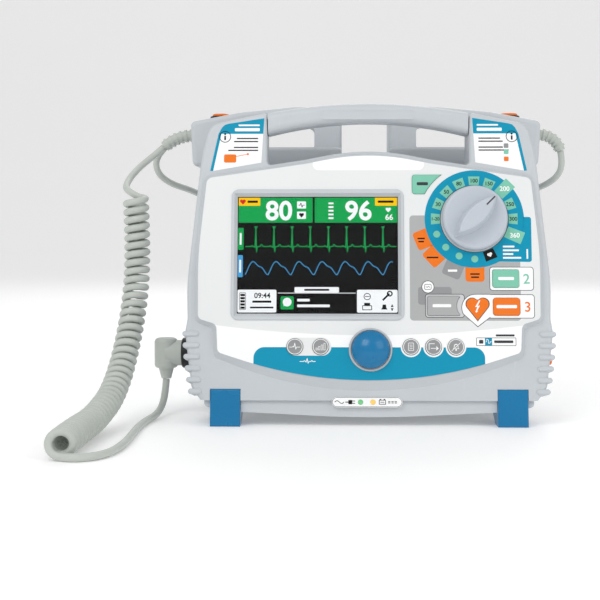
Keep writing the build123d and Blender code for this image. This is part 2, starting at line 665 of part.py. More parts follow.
def recorder_door():
    thick = 2.4
    x_span = (SIDE_X - thick, SIDE_X)
    pivot_z = DOOR_Z[0] + thick / 2
    leaf = block(x_span, DOOR_Y, (pivot_z, DOOR_Z[1]))
    leaf += rod((SIDE_X - thick / 2, DOOR_Y[0], pivot_z), (0, 1, 0), thick / 2, DOOR_Y[1] - DOOR_Y[0])
    leaf -= block((140, 160), (DOOR_Y[0] + 8, DOOR_Y[1] - 8), (DOOR_Z[1] - 10, DOOR_Z[1] - 8))
    grip_y = (PADDLE_MID_Y - 14, PADDLE_MID_Y + 6)
    leaf += block((SIDE_X, SIDE_X + 0.8), grip_y, (DOOR_Z[1] - 5, DOOR_Z[1] - 1))
    return leaf


# ---- Cords --------------------------------------------------------------------------------
def behind(x, depth, z):
    """A route point, with its depth counted back from the foot of the front face."""
    return (x, FRONT_Y + depth, z)


LEAD_ROUTE = [
    behind(-183.6, 150 - LINK_SPREAD, 235.4), behind(-192, 143, 227.5), behind(-201, 133, 219),
    behind(-207, 115, 209), behind(-208, 93, 200), behind(-206.4, 74, 193),
]
COIL_ROUTE = [
    behind(-198, 70, 188), behind(-196, 73, 140), behind(-199, 60, 84), behind(-207, 20, 28),
    behind(-214, -42, 12.2), behind(-218, -100, 11.8), behind(-217, -160, 11.8),
]
TAIL_ROUTE = [
    behind(-SIDE_REACH - 14, 70, 31.5), behind(-173.2, 68.6, 19), behind(-175, 59, 8.5),
    behind(-178, 43, 3.6), behind(-182, 20, 3.2), behind(-184, -20, 3.1), behind(-181.5, -90, 3.1),
    behind(-184.5, -130, 3.1), behind(-193, -150, 3.1), behind(-206, -157, 3.1),
]
LEFT_LINK_ROUTE = [
    behind(-183.6, 150 + LINK_SPREAD, 235.4), behind(-189.5, 155.5, 229.5), behind(-193, 158.5, 220.5),
    behind(-190, 162.5, 210.5), behind(-179, 169, 202.5), behind(-164, 183, 198),
    behind(-154, 206, 193), behind(-136, 225, 180), behind(-108, 231, 157), behind(-74, 232, 134),
    behind(-38, 232, 113), behind(0, 232, 113),
]
RIGHT_LINK_ROUTE = [
    behind(178.4, 150, 231.7), behind(181, 151, 220), behind(177, 155, 208.5),
    behind(168, 165, 201.5), behind(160, 184, 198), behind(151, 207, 190), behind(132, 225, 175),
    behind(101, 231, 152), behind(67, 232, 128), behind(34, 232, 113), behind(0, 232, 113),
]


def half_turn(before, here, after):
    """Half the angle by which a route turns at a point, in degrees."""
    return (Vector(*here) - Vector(*before)).get_angle(Vector(*after) - Vector(*here)) / 2


def route_radii(route):
    """The largest bend radius that the runs on both sides of each inner point allow."""
    radii = []
    for before, here, after in zip(route, route[1:], route[2:]):
        shorter = min((Vector(*here) - Vector(*before)).length, (Vector(*after) - Vector(*here)).length)
        radii.append(0.45 * shorter / math.tan(math.radians(half_turn(before, here, after))))
    return radii


def cord(route, radius, name):
    radii = route_radii(route)
    path = FilletPolyline(*route, radius=radii)
    start = Plane(origin=path @ 0, z_dir=path % 0)
    body = sweep(start * Circle(radius), path=path)
    expected = math.pi * radius ** 2 * path.length
    print(name, "bend radii", [round(r) for r in radii], "length", round(path.length),
          "volume ratio", round(body.volume / expected, 3))
    return body


def build():
    os.makedirs("parts", exist_ok=True)
    for name in KEY_STEMS:
        save(key(name), name)
    for part in (
        front_shell, bottom_tray, rear_shell, carry_handle, rear_feet, front_overlay,
        display_bezel, display_window, lcd_module, selector_knob, selector_shaft, selector_switch,
        encoder_knob, encoder_plunger, encoder_switch, led_plate, status_leds, keypad_board,
        main_board, chassis_plate, power_supply, hv_capacitor, speaker, paddle_contacts,
        paddle_socket, elbow_plug, ecg_socket, sensor_socket, mains_inlet, equipotential_stud,
        battery_pack, recorder_module, paper_roll, recorder_door,
    ):
        save(part(), part.__name__)
    for side, word in ((-1, "left"), (1, "right")):
        save(foot(side), f"front_foot_{word}")
        save(paddle_body(side), f"paddle_{word}_body")
        save(paddle_adapter(side), f"paddle_{word}_adapter")
        save(paddle_electrode(side), f"paddle_{word}_electrode")
        save(paddle_button(side), f"paddle_{word}_button")
        save(paddle_relief(side), f"paddle_{word}_relief")
    for name, route, radius in (
        ("main_cord_lead", LEAD_ROUTE, CORD_R),
        ("main_cord_coil", COIL_ROUTE, COIL_R),
        ("main_cord_tail", TAIL_ROUTE, CORD_R),
        ("link_cord_left", LEFT_LINK_ROUTE, CORD_R),
        ("link_cord_right", RIGHT_LINK_ROUTE, CORD_R),
    ):
        save(cord(route, radius, name), name)


build()
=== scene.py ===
import json
import math

import bmesh
import bpy
from bpy.props import FloatProperty, FloatVectorProperty, IntProperty, PointerProperty
from mathutils import Matrix, Vector


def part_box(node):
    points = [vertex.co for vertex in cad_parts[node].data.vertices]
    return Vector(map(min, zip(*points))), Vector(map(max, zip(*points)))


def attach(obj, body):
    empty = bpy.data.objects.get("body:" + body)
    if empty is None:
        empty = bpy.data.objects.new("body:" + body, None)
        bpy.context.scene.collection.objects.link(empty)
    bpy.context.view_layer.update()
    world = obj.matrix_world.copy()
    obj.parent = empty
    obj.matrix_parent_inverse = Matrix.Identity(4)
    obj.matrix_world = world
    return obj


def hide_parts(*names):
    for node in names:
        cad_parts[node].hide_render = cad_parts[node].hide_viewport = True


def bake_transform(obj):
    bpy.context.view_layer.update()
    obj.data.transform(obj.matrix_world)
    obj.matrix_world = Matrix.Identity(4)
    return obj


bl_info = {
    "name": "Monitor-defibrillator looks",
    "version": (1, 0, 0),
    "blender": (4, 5, 0),
    "location": "3D View > Sidebar > Defibrillator",
    "description": "Finishes, prints, cords and small fittings round the packed defibrillator",
    "category": "Object",
}

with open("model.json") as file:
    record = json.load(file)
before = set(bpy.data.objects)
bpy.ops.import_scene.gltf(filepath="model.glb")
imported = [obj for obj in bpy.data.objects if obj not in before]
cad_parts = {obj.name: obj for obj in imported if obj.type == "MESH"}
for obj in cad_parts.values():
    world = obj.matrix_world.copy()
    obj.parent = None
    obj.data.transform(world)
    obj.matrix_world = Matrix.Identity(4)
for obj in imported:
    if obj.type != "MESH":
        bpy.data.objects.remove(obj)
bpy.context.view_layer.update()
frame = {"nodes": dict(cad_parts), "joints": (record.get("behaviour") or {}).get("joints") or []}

MM = 0.001
FINISH_NAME = "finish_"
FILM = 0.015                # thickness of one layer of print, in millimetres
LAYER = 0.018               # from one layer of print to the next


# ---- Places --------------------------------------------------------------------------------------
def joint(name):
    """The record's joint of that name."""
    return next(item for item in frame["joints"] if item["name"] == name)


def face_place():
    """From the front face's own millimetres (across, up the face, outwards) to the row frame."""
    turn = joint("selector_turn")
    out = -Vector(turn["axis"]).normalized()
    across = Vector((1, 0, 0))
    up = out.cross(across)
    spot = Vector(turn["pos_m"])
    foot = spot - up * (spot.z / up.z)
    foot.x = 0.0
    axes = Matrix((across, up, out)).transposed()
    return Matrix.Translation(foot) @ axes.to_4x4() @ Matrix.Scale(MM, 4)


FACE = face_place()
FRONT_Y = FACE.translation.y


def face_span(node):
    """(lowest, highest) corner of a CAD node in the front face's own millimetres."""
    away = FACE.inverted()
    spots = [away @ vertex.co for vertex in frame["nodes"][node].data.vertices]
    low = Vector([min(spot[i] for spot in spots) for i in range(3)])
    high = Vector([max(spot[i] for spot in spots) for i in range(3)])
    return low, high


def face_middle(node):
    """The middle of a CAD node on the front face: across and up."""
    low, high = face_span(node)
    return ((low.x + high.x) / 2, (low.y + high.y) / 2)


def wall_place(spot, across, up):
    """From millimetres on a flat wall, with its origin at a point in metres, to the row frame."""
    across, up = Vector(across), Vector(up)
    axes = Matrix((across, up, across.cross(up))).transposed()
    return Matrix.Translation(Vector(spot)) @ axes.to_4x4() @ Matrix.Scale(MM, 4)


SELECTOR = face_middle("selector_shaft")


# ---- Shader maths --------------------------------------------------------------------------------
class Value:
    """A number that varies over a surface. Arithmetic on it adds Math nodes to its material."""

    def __init__(self, finish, socket):
        self.finish = finish
        self.socket = socket

    def math(self, operation, *others, swapped=False):
        sides = [self, *others]
        if swapped:
            sides.reverse()
        return self.finish.node("ShaderNodeMath", {"operation": operation}, dict(enumerate(sides)))

    def __add__(self, other):
        return self.math("ADD", other)

    def __sub__(self, other):
        return self.math("SUBTRACT", other)

    def __rsub__(self, other):
        return self.math("SUBTRACT", other, swapped=True)

    def __mul__(self, other):
        return self.math("MULTIPLY", other)

    def __truediv__(self, other):
        return self.math("DIVIDE", other)

    __radd__ = __add__
    __rmul__ = __mul__

    def above(self, other):
        return self.math("MAXIMUM", other)

    def below(self, other):
        return self.math("MINIMUM", other)

    def size(self):
        return self.math("ABSOLUTE")

    def root(self):
        return self.math("SQRT")

    def clear(self):
        """Held between 0 and 1."""
        return self.above(0.0).below(1.0)


class Finish:
    """One material, built from nodes."""

    def __init__(self, name):
        self.material = bpy.data.materials.new(FINISH_NAME + name)
        self.material.use_nodes = True
        self.tree = self.material.node_tree
        self.shader = self.tree.nodes["Principled BSDF"]

    def node(self, kind, settings=None, inputs=None, output=0):
        """A node with its settings made first, then the values or links of its sockets."""
        item = self.tree.nodes.new(kind)
        for key, value in (settings or {}).items():
            if key == "stops":
                self.stops(item.color_ramp, value)
            else:
                setattr(item, key, value)
        for key, value in (inputs or {}).items():
            self.feed(item.inputs[key], value)
        return Value(self, item.outputs[output])

    def stops(self, ramp, stops):
        while len(ramp.elements) < len(stops):
            ramp.elements.new(1.0)
        for element, (position, colour) in zip(ramp.elements, stops):
            element.position = position
            element.color = (*colour[:3], 1.0)

    def feed(self, socket, value):
        if isinstance(value, Value):
            self.tree.links.new(value.socket, socket)
        elif socket.type == "RGBA" and len(value) == 3:
            socket.default_value = (*value, 1.0)
        else:
            socket.default_value = value

    def set(self, **sockets):
        """Values or links of the shader's own sockets, with _ for a space."""
        for key, value in sockets.items():
            self.feed(self.shader.inputs[key.replace("_", " ")], value)
        return self.material

    def place(self):
        return self.node("ShaderNodeTexCoord", output="Object")

    def axes(self):
        """The three axes of the place, in millimetres."""
        split = self.node("ShaderNodeSeparateXYZ", inputs={0: self.place()})
        parts = split.socket.node.outputs
        return [Value(self, part) * (1 / MM) for part in parts]

    def noise(self, scale, detail=3.0, stretch=(1, 1, 1), rough=0.5):
        """Noise from 0 to 1, with features of about 1 / scale metres."""
        stretched = self.node(
            "ShaderNodeVectorMath", {"operation": "MULTIPLY"}, {0: self.place(), 1: stretch}
        )
        return self.node(
            "ShaderNodeTexNoise", inputs={"Vector": stretched, "Scale": scale, "Detail": detail,
                                          "Roughness": rough}
        )

    def mix(self, factor, first, second):
        """The second colour over the first, by the factor."""
        item = self.node("ShaderNodeMix", {"data_type": "RGBA"})
        node = item.socket.node
        self.feed(node.inputs[0], factor)
        self.feed(node.inputs[6], first)
        self.feed(node.inputs[7], second)
        return Value(self, node.outputs[2])

    def bump(self, height, strength, depth):
        return self.node(
            "ShaderNodeBump", inputs={"Height": height, "Strength": strength, "Distance": depth}
        )


def linear(colour):
    """A display colour, 0 to 255, as scene values."""
    return tuple(((c / 255 + 0.055) / 1.055) ** 2.4 if c > 10 else c / 3295 for c in colour)


def shade(colour, amount):
    return tuple(min(1.0, c * amount) for c in colour)


def moulded(name, colour, rough=0.42, grain=1400.0, depth=0.00004, wear=0.06, coat=0.0):
    """Moulded plastic: a faint cloud in the colour, spark-eroded grain, rubbed and dusty spots."""
    finish = Finish(name)
    cloud = finish.noise(16.0, 4.0)
    dust = finish.noise(70.0, 5.0, rough=0.65)
    skin = finish.noise(grain, 2.0)
    scuff = finish.noise(240.0, 4.0, (1, 1, 0.15), 0.7)
    rubbed = ((scuff - 0.62) * 9.0).clear()
    tone = finish.mix((cloud - 0.3) * 1.4, shade(colour, 1 - wear), shade(colour, 1 + wear / 2))
    tone = finish.mix(((dust - 0.55) * 2.2).clear() * 0.35, tone, shade(colour, 0.82))
    tone = finish.mix(rubbed * 0.25, tone, shade(colour, 1.16))
    finish.set(Base_Color=tone, Roughness=rough + (cloud - 0.5) * 0.16 - rubbed * 0.08,
               Specular_IOR_Level=0.32, Coat_Weight=coat, Coat_Roughness=0.12,
               Normal=finish.bump(skin + scuff * 0.25, 0.5, depth))
    return finish.material


def film(name, colour):
    """A layer of screen print on film: slightly uneven ink with a fine stipple."""
    finish = Finish(name)
    ink = finish.noise(320.0, 3.0)
    stipple = finish.noise(2600.0, 1.0)
    tone = finish.mix(ink, shade(colour, 0.93), shade(colour, 1.05))
    finish.set(Base_Color=tone, Roughness=0.38 + ink * 0.1, Specular_IOR_Level=0.22,
               Normal=finish.bump(stipple, 0.3, 0.00001))
    return finish.material


def picture(name, colour, glow):
    """A lit area of the display, with the fine grid of its cells."""
    finish = Finish(name)
    cells = finish.noise(3000.0, 1.0)
    tone = finish.mix(cells, shade(colour, 0.9), shade(colour, 1.04))
    finish.set(Base_Color=finish.mix(cells, shade(colour, 0.25), shade(colour, 0.3)), Roughness=0.5,
               Specular_IOR_Level=0.1, Emission_Color=tone, Emission_Strength=glow)
    return finish.material


def rubber(name, colour, rough=0.55, sheen=0.15):
    """A matt elastomer with grime in its low spots and fine drag marks."""
    finish = Finish(name)
    grime = finish.noise(45.0, 5.0, rough=0.6)
    skin = finish.noise(900.0, 3.0)
    tone = finish.mix(((grime - 0.42) * 2.4).clear() * 0.55, colour, shade(colour, 0.84))
    tone = finish.mix(((skin - 0.6) * 4).clear() * 0.25, tone, shade(colour, 1.12))
    finish.set(Base_Color=tone, Roughness=rough + (grime - 0.5) * 0.2, Sheen_Weight=sheen,
               Normal=finish.bump(skin, 0.4, 0.00005))
    return finish.material


def metal(name, colour, rough=0.3, stretch=(1, 1, 30)):
    """Brushed metal: long fine lines and tarnish spots."""
    finish = Finish(name)
    lines = finish.noise(160.0, 6.0, stretch, 0.7)
    spots = finish.noise(60.0, 5.0, rough=0.65)
    stain = ((spots - 0.55) * 4.0).clear()
    tone = finish.mix(lines, shade(colour, 0.86), shade(colour, 1.08))
    tone = finish.mix(stain * 0.4, tone, shade(colour, 0.62))
    finish.set(Base_Color=tone, Metallic=1.0 - stain * 0.2,
               Roughness=rough + lines * 0.16 + stain * 0.15,
               Normal=finish.bump(lines, 0.35, 0.00004))
    return finish.material


def board_finish(colour):
    """Solder mask over tracks, with bare pads."""
    finish = Finish("board")
    ways = finish.node("ShaderNodeTexBrick", {"offset": 0.5}, {
        "Vector": finish.place(), "Scale": 220.0, "Mortar Size": 0.06, "Color1": (0, 0, 0),
        "Color2": (0.3, 0.3, 0.3), "Mortar": (1, 1, 1)}, output="Fac")
    dots = finish.node("ShaderNodeTexVoronoi", {"feature": "F1"},
                       {"Vector": finish.place(), "Scale": 260.0})
    pads = ((0.22 - dots) * 30).clear()
    tone = finish.mix(ways, colour, shade(colour, 1.8))
    tone = finish.mix(pads, tone, linear((206, 190, 140)))
    finish.set(Base_Color=tone, Metallic=pads, Roughness=0.34 + ways * 0.1,
               Normal=finish.bump(ways + pads, 0.5, 0.00006))
    return finish.material


# ---- The overlay's print -------------------------------------------------------------------------
EDGE = 12.0                 # print edges fade over one part in this many of a millimetre


def inside_box(across, up, left, right, low, high, radius):
    """1 inside a rounded box on the face, 0 outside it."""
    over_x = (across - (left + right) / 2).size() - ((right - left) / 2 - radius)
    over_y = (up - (low + high) / 2).size() - ((high - low) / 2 - radius)
    corner = (over_x.above(0.0) * over_x.above(0.0) + over_y.above(0.0) * over_y.above(0.0)).root()
    within = over_x.above(over_y).below(0.0)
    return ((radius - corner - within) * EDGE).clear()


def inside_disc(across, up, spot, radius):
    """1 inside a disc on the face, 0 outside it."""
    off_x, off_y = across - spot[0], up - spot[1]
    return ((radius - (off_x * off_x + off_y * off_y).root()) * EDGE).clear()


# Fields of the front film in millimetres: left, right, low, high and corner radius
TOP_PATCH = (-46.0, 46.0, 211.8, 260.0, 5.0)
TEAL_BAND = (-93.7, 94.0, 0.0, 65.3, 9.0)
KEY_PAIR = (-66.6, -30.4, 58.3, 73.0, 7.35)
GREY_PANEL = (33.5, 123.6, 87.0, 173.9, 3.0)
CANCEL_TAB = (40.1, 67.6, 100.0, 114.7, 2.5)
CHARGE_FIELD = (98.3, 134.3, 111.6, 131.3, 2.6)
SHOCK_FIELD = (86.0, 134.7, 88.9, 108.7, 2.6)
CANCEL_FIELD = (45.8, 78.0, 89.4, 109.0, 2.6)
FIELD_LINE = 0.5            # width of the dark outline of the three key fields
FOOT_ARC_LOW, FOOT_ARC_SIDE, FOOT_ARC_SIDE_UP = 75.0, 124.0, 83.0
ROUND_RIM_R = 8.3           # white rims round the keys on the teal band


def inset(field, by, rounder):
    """A field drawn in on all sides, with its corner radius made smaller."""
    left, right, low, high, radius = field
    return (left + by, right - by, low + by, high - by, radius - rounder)


def overlay_finish(colours):
    """The whole front film: off-white ground, white fields, teal band, grey panel, key grounds."""
    finish = Finish("front_film")
    across, deep, high = finish.axes()
    lean = math.atan2(FACE.col[1].y, FACE.col[1].z)
    up = high * math.cos(lean) + (deep - FRONT_Y / MM) * math.sin(lean)
    cloud = finish.noise(20.0, 4.0)
    stipple = finish.noise(2400.0, 1.0)
    tone = finish.mix(cloud, shade(colours["ground"], 0.97), colours["ground"])

    # the white foot field lies below an arc through its two ends and its lowest point
    rise = FOOT_ARC_SIDE_UP - FOOT_ARC_LOW
    arc_r = (FOOT_ARC_SIDE ** 2 + rise ** 2) / (2 * rise)
    foot = 1 - inside_disc(across, up, (0.0, FOOT_ARC_LOW + arc_r), arc_r)
    patch = inside_box(across, up, *TOP_PATCH)
    tone = finish.mix(foot.above(patch), tone, colours["white"])
    for field, ink in ((TEAL_BAND, "teal"), (KEY_PAIR, "ground")):
        tone = finish.mix(inside_box(across, up, *field), tone, colours[ink])
    for node in ("key_print", "key_marker", "key_alarm"):
        rim = inside_disc(across, up, face_middle(node), ROUND_RIM_R)
        tone = finish.mix(rim, tone, colours["white"])
    for field, ink in ((GREY_PANEL, "panel_grey"), (CANCEL_TAB, "dark_grey"), (CHARGE_FIELD, "line"),
                       (inset(CHARGE_FIELD, FIELD_LINE, 0.4), "white"), (SHOCK_FIELD, "line"),
                       (inset(SHOCK_FIELD, FIELD_LINE, 0.4), "white"), (CANCEL_FIELD, "line"),
                       (inset(CANCEL_FIELD, FIELD_LINE, 0.4), "pale_grey")):
        tone = finish.mix(inside_box(across, up, *field), tone, colours[ink])

    finish.set(Base_Color=tone, Roughness=0.4 + cloud * 0.08, Specular_IOR_Level=0.25,
               Normal=finish.bump(stipple, 0.25, 0.00001))
    return finish.material


# ---- Flat shapes, in millimetres -----------------------------------------------------------------
def bridge(mesh, first, second):
    """A band of faces between two rings of vertices."""
    for i in range(len(first)):
        mesh.faces.new((first[i - 1], first[i], second[i], second[i - 1]))


def arc(spot, radius, start, end, steps=24):
    """Points along an arc, from one angle in degrees to another."""
    angles = [math.radians(start + (end - start) * i / steps) for i in range(steps + 1)]
    return [(spot[0] + radius * math.cos(a), spot[1] + radius * math.sin(a)) for a in angles]


def disc(spot, radius, steps=32):
    return arc(spot, radius, 0, 360, steps)[:-1]


def box(left, right, low, high, radius=0.0):
    """A box, with rounded corners if it has a radius."""
    if not radius:
        return [(left, low), (right, low), (right, high), (left, high)]
    corners = ((right - radius, high - radius, 0), (left + radius, high - radius, 90),
               (left + radius, low + radius, 180), (right - radius, low + radius, 270))
    return [point for x, y, turn in corners for point in arc((x, y), radius, turn, turn + 90, 6)]


def moved(points, spot=(0, 0), turn=0.0, scale=1.0):
    """Points turned by degrees round their origin, scaled, then moved to a spot."""
    c, s = scale * math.cos(math.radians(turn)), scale * math.sin(math.radians(turn))
    return [(spot[0] + x * c - y * s, spot[1] + x * s + y * c) for x, y in points]


def heart(spot, width, low):
    """A heart, with its point at the distance low under its middle."""
    lobe = width * 0.27
    side = width / 2 - lobe
    right = arc((side, lobe * 0.45), lobe, -38, 137, 14)
    left = [(-x, y) for x, y in reversed(right)]
    return moved([(0, -low)] + right + left, spot)


def bolt(spot, height):
    """A lightning bolt."""
    points = [(0.12, 0.5), (-0.22, -0.08), (-0.03, -0.05), (-0.16, -0.42), (-0.24, -0.40), (-0.12, -0.56),
              (0.04, -0.42), (-0.05, -0.42), (0.20, 0.06), (0.0, 0.03), (0.24, 0.5)]
    return moved(points, spot, 0, height)


def stroke(points, width):
    """The outline of a line of that width along open points, with mitred joints."""
    left, right = [], []
    for i, point in enumerate(points):
        before = Vector(points[max(i - 1, 0)])
        after = Vector(points[min(i + 1, len(points) - 1)])
        here = Vector(point)
        first = (here - before).normalized() if i else (after - here).normalized()
        second = (after - here).normalized() if i < len(points) - 1 else first
        along = (first + second).normalized() if (first + second).length > 0.05 else first
        side = Vector((-along.y, along.x))
        reach = width / 2 / max(0.45, side.dot(Vector((-first.y, first.x))))
        left.append(tuple(here + side * reach))
        right.append(tuple(here - side * reach))
    return left + right[::-1]


class Print:
    """One colour of print on a flat place: thin closed plates, gathered into one piece."""

    def __init__(self, place, layer=0, base=0.0, thick=FILM):
        self.place = place
        self.low = base + 0.01 + LAYER * layer
        self.thick = thick
        self.mesh = bmesh.new()

    def fill(self, *outlines):
        """Closed outlines, filled."""
        for points in outlines:
            low = [self.mesh.verts.new((x, y, self.low)) for x, y in points]
            high = [self.mesh.verts.new((x, y, self.low + self.thick)) for x, y in points]
            self.mesh.faces.new(low[::-1])
            self.mesh.faces.new(high)
            bridge(self.mesh, low, high)
        return self

    def ring(self, outer, inner):
        """The band between two closed outlines with as many points each."""
        rings = [[self.mesh.verts.new((x, y, z)) for x, y in points]
                 for points, z in ((outer, self.low), (outer, self.low + self.thick),
                                   (inner, self.low + self.thick), (inner, self.low))]
        for first, second in zip(rings, rings[1:] + rings[:1]):
            bridge(self.mesh, first, second)
        return self

    def line(self, points, width):
        """A line of that width, in separate runs where it turns sharply."""
        run = [points[0]]
        for before, here, after in zip(points, points[1:], points[2:]):
            run.append(here)
            first, second = Vector(here) - Vector(before), Vector(after) - Vector(here)
            if first.angle(second) > math.radians(50):
                self.fill(stroke(run, width))
                run = [here]
        run.append(points[-1])
        return self.fill(stroke(run, width))

    def words(self, text, spot, height, weight=0.0):
        """Numbers, by the height of a digit; weight thickens them by that share of it."""
        curve = bpy.data.curves.new("digits", "FONT")
        curve.body = text
        curve.size = height / 0.7
        curve.align_x = "CENTER"
        curve.extrude = self.thick / 2
        curve.offset = weight * height
        curve.resolution_u = 4
        holder = bpy.data.objects.new("digits", curve)
        mesh = bpy.data.meshes.new_from_object(holder)
        middle = (min(v.co.y for v in mesh.vertices) + max(v.co.y for v in mesh.vertices)) / 2
        mesh.transform(Matrix.Translation((0, -middle, 0)))
        mesh.transform(Matrix.Translation((*spot, self.low + self.thick / 2)))
        self.mesh.from_mesh(mesh)
        bpy.data.objects.remove(holder)
        bpy.data.curves.remove(curve)
        bpy.data.meshes.remove(mesh)
        return self

    def piece(self, name, finish, body="root", slot=None):
        bmesh.ops.recalc_face_normals(self.mesh, faces=self.mesh.faces)
        self.mesh.transform(self.place)
        return finished(name, self.mesh, finish, body)

    def ink(self, name, ink):
        """The piece that this print makes on the fixed body, in one ink."""
        return self.piece(name, material("ink_" + ink), slot="overlay")


def placed(name, data):
    """A new object in the scene."""
    item = bpy.data.objects.new(name, data)
    bpy.context.scene.collection.objects.link(item)
    return item


def mesh_data(name, mesh, finish):
    """A bmesh as Blender's own mesh, with a finish."""
    data = bpy.data.meshes.new(name)
    mesh.to_mesh(data)
    mesh.free()
    data.materials.append(finish)
    return data


def finished(name, mesh, finish, body="root"):
    """Turns a bmesh into a piece that rides on a body."""
    piece = placed(name, mesh_data(name, mesh, finish))
    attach(piece, body)
    return piece


def material(name):
    return bpy.data.materials[FINISH_NAME + name]


def dress(nodes, finish):
    """Gives carried-over nodes a finish."""
    for node in nodes:
        slots = frame["nodes"][node].data.materials
        slots.clear()
        slots.append(finish)


# ---- Settings ------------------------------------------------------------------------------------
def colour_setting(name, description, rgb):
    return FloatVectorProperty(name=name, description=description, default=linear(rgb),
                               subtype="COLOR", min=0.0, max=1.0, size=3)


class HousingSettings(bpy.types.PropertyGroup):
    """Colours of the moulded parts."""

    shell: colour_setting("Housing", "Colour of the shells and the handle", (199, 204, 208))
    knob: colour_setting("Selector knob", "Colour of the energy selector", (193, 200, 209))
    blue: colour_setting("Blue parts", "Colour of the rotary button and the front feet", (0, 118, 170))
    black: colour_setting("Black parts", "Colour of the sockets and the battery", (34, 34, 37))
    rough: FloatProperty(name="Roughness", description="Roughness of the shells", default=0.42,
                         min=0.0, max=1.0, subtype="FACTOR")


class PrintSettings(bpy.types.PropertyGroup):
    """Colours of the printed film and the keys."""

    ground: colour_setting("Ground", "Ground colour of the front film", (232, 234, 234))
    white: colour_setting("White", "White fields and symbols", (250, 251, 251))
    teal: colour_setting("Teal", "Foot band and dial ring", (0, 147, 181))
    mint: colour_setting("Mint", "Dial labels, charge and sync keys", (128, 200, 175))
    orange: colour_setting("Orange", "Shock key and its symbols", (240, 120, 32))
    panel_grey: colour_setting("Panel grey", "Field under the selector", (174, 176, 176))
    dark_grey: colour_setting("Dark grey", "Grey tab and round keys", (148, 150, 151))
    pale_grey: colour_setting("Pale grey", "Ground of the paired keys", (204, 206, 207))
    line: colour_setting("Lines", "Outlines and small symbols", (60, 62, 66))
    black: colour_setting("Black", "Dial numbers and black label", (18, 18, 20))


class CordSettings(bpy.types.PropertyGroup):
    """Sizes and colour of the cords."""

    colour: colour_setting("Cord", "Colour of the cords and their boots", (190, 195, 189))
    diameter: FloatProperty(name="Cord diameter", description="Diameter of each cord", default=0.006,
                            unit="LENGTH", min=0.003, max=0.01)
    coil_radius: FloatProperty(name="Coil radius", default=0.0085, unit="LENGTH", min=0.006, max=0.02,
                               description="From the coil's axis to the middle of the cord")
    turns: IntProperty(name="Turns", description="Turns of the coiled part", default=47, min=10, max=80)


class ScreenSettings(bpy.types.PropertyGroup):
    """Colours and brightness of the display picture."""

    green: colour_setting("Green", "Number tiles and the upper trace", (6, 160, 76))
    blue: colour_setting("Blue", "Lower trace", (70, 160, 214))
    yellow: colour_setting("Yellow", "Tabs on the tiles", (255, 200, 0))
    glow: FloatProperty(name="Brightness", description="Light given by the picture", default=0.85,
                        min=0.0, max=5.0)


class StageSettings(bpy.types.PropertyGroup):
    """Camera and floor."""

    lens: FloatProperty(name="Lens", description="Focal length", default=75.0, subtype="DISTANCE_CAMERA",
                        unit="CAMERA", min=20.0, max=200.0)
    distance: FloatProperty(name="Distance", description="From the camera to the foot of the front face",
                            default=1.0, unit="LENGTH", min=0.3, max=5.0)
    floor: colour_setting("Floor", "Colour of the floor", (247, 247, 247))
    light: FloatProperty(name="Light", description="Power of the main lamp", default=21.0, unit="POWER",
                         min=0.0, max=500.0)


class DefibrillatorSettings(bpy.types.PropertyGroup):
    """All settings of the looks."""

    housing: PointerProperty(type=HousingSettings, name="Housing", description="Moulded parts")
    prints: PointerProperty(type=PrintSettings, name="Prints", description="Printed film and keys")
    cords: PointerProperty(type=CordSettings, name="Cords", description="Cords")
    screen: PointerProperty(type=ScreenSettings, name="Display", description="Display picture")
    stage: PointerProperty(type=StageSettings, name="Stage", description="Camera and floor")


PRINT_COLOURS = ("ground", "white", "teal", "mint", "orange", "panel_grey", "dark_grey", "pale_grey",
                 "line", "black")


def settings(context):
    return context.scene.defibrillator


# ---- Cords ---------------------------------------------------------------------------------------
def behind(x, depth, z):
    """A route point from millimetres, with its depth counted from the foot of the front face."""
    return Vector((x * MM, FRONT_Y + depth * MM, z * MM))


LEAD_ROUTE = [
    behind(-183.6, 146.4, 235.4), behind(-192, 143, 227.5), behind(-201, 133, 219),
    behind(-207.5, 115, 209), behind(-210, 97, 200), behind(-208.5, 84, 194.5),
]
COIL_ROUTE = [
    behind(-198, 70, 188), behind(-196, 73, 140), behind(-199, 60, 84), behind(-207, 20, 28),
    behind(-214, -42, 12.2), behind(-218, -100, 11.8), behind(-217, -160, 11.8),
]
TAIL_ROUTE = [
    behind(-172.4, 70, 31.5), behind(-173.2, 68.6, 19), behind(-175, 59, 8.5),
    behind(-178, 43, 3.6), behind(-182, 20, 3.2), behind(-184, -20, 3.1), behind(-181.5, -90, 3.1),
    behind(-184.5, -130, 3.1), behind(-193, -150, 3.1), behind(-206, -157, 3.1),
]
LEFT_LINK_ROUTE = [
    behind(-183.6, 153.6, 235.4), behind(-189.5, 155.5, 229.5), behind(-193, 158.5, 220.5),
    behind(-190, 162.5, 210.5), behind(-179, 169, 202.5), behind(-164, 183, 198),
    behind(-154, 206, 193), behind(-136, 225, 180), behind(-108, 231, 157), behind(-74, 232, 134),
    behind(-38, 232, 113), behind(0, 232, 113),
]
RIGHT_LINK_ROUTE = [
    behind(178.4, 150, 231.7), behind(181, 151, 220), behind(177, 155, 208.5),
    behind(168, 165, 201.5), behind(160, 184, 198), behind(151, 207, 190), behind(132, 225, 175),
    behind(101, 231, 152), behind(67, 232, 128), behind(34, 232, 113), behind(0, 232, 113),
]
COIL_STEPS = 14             # points of one turn of the coil


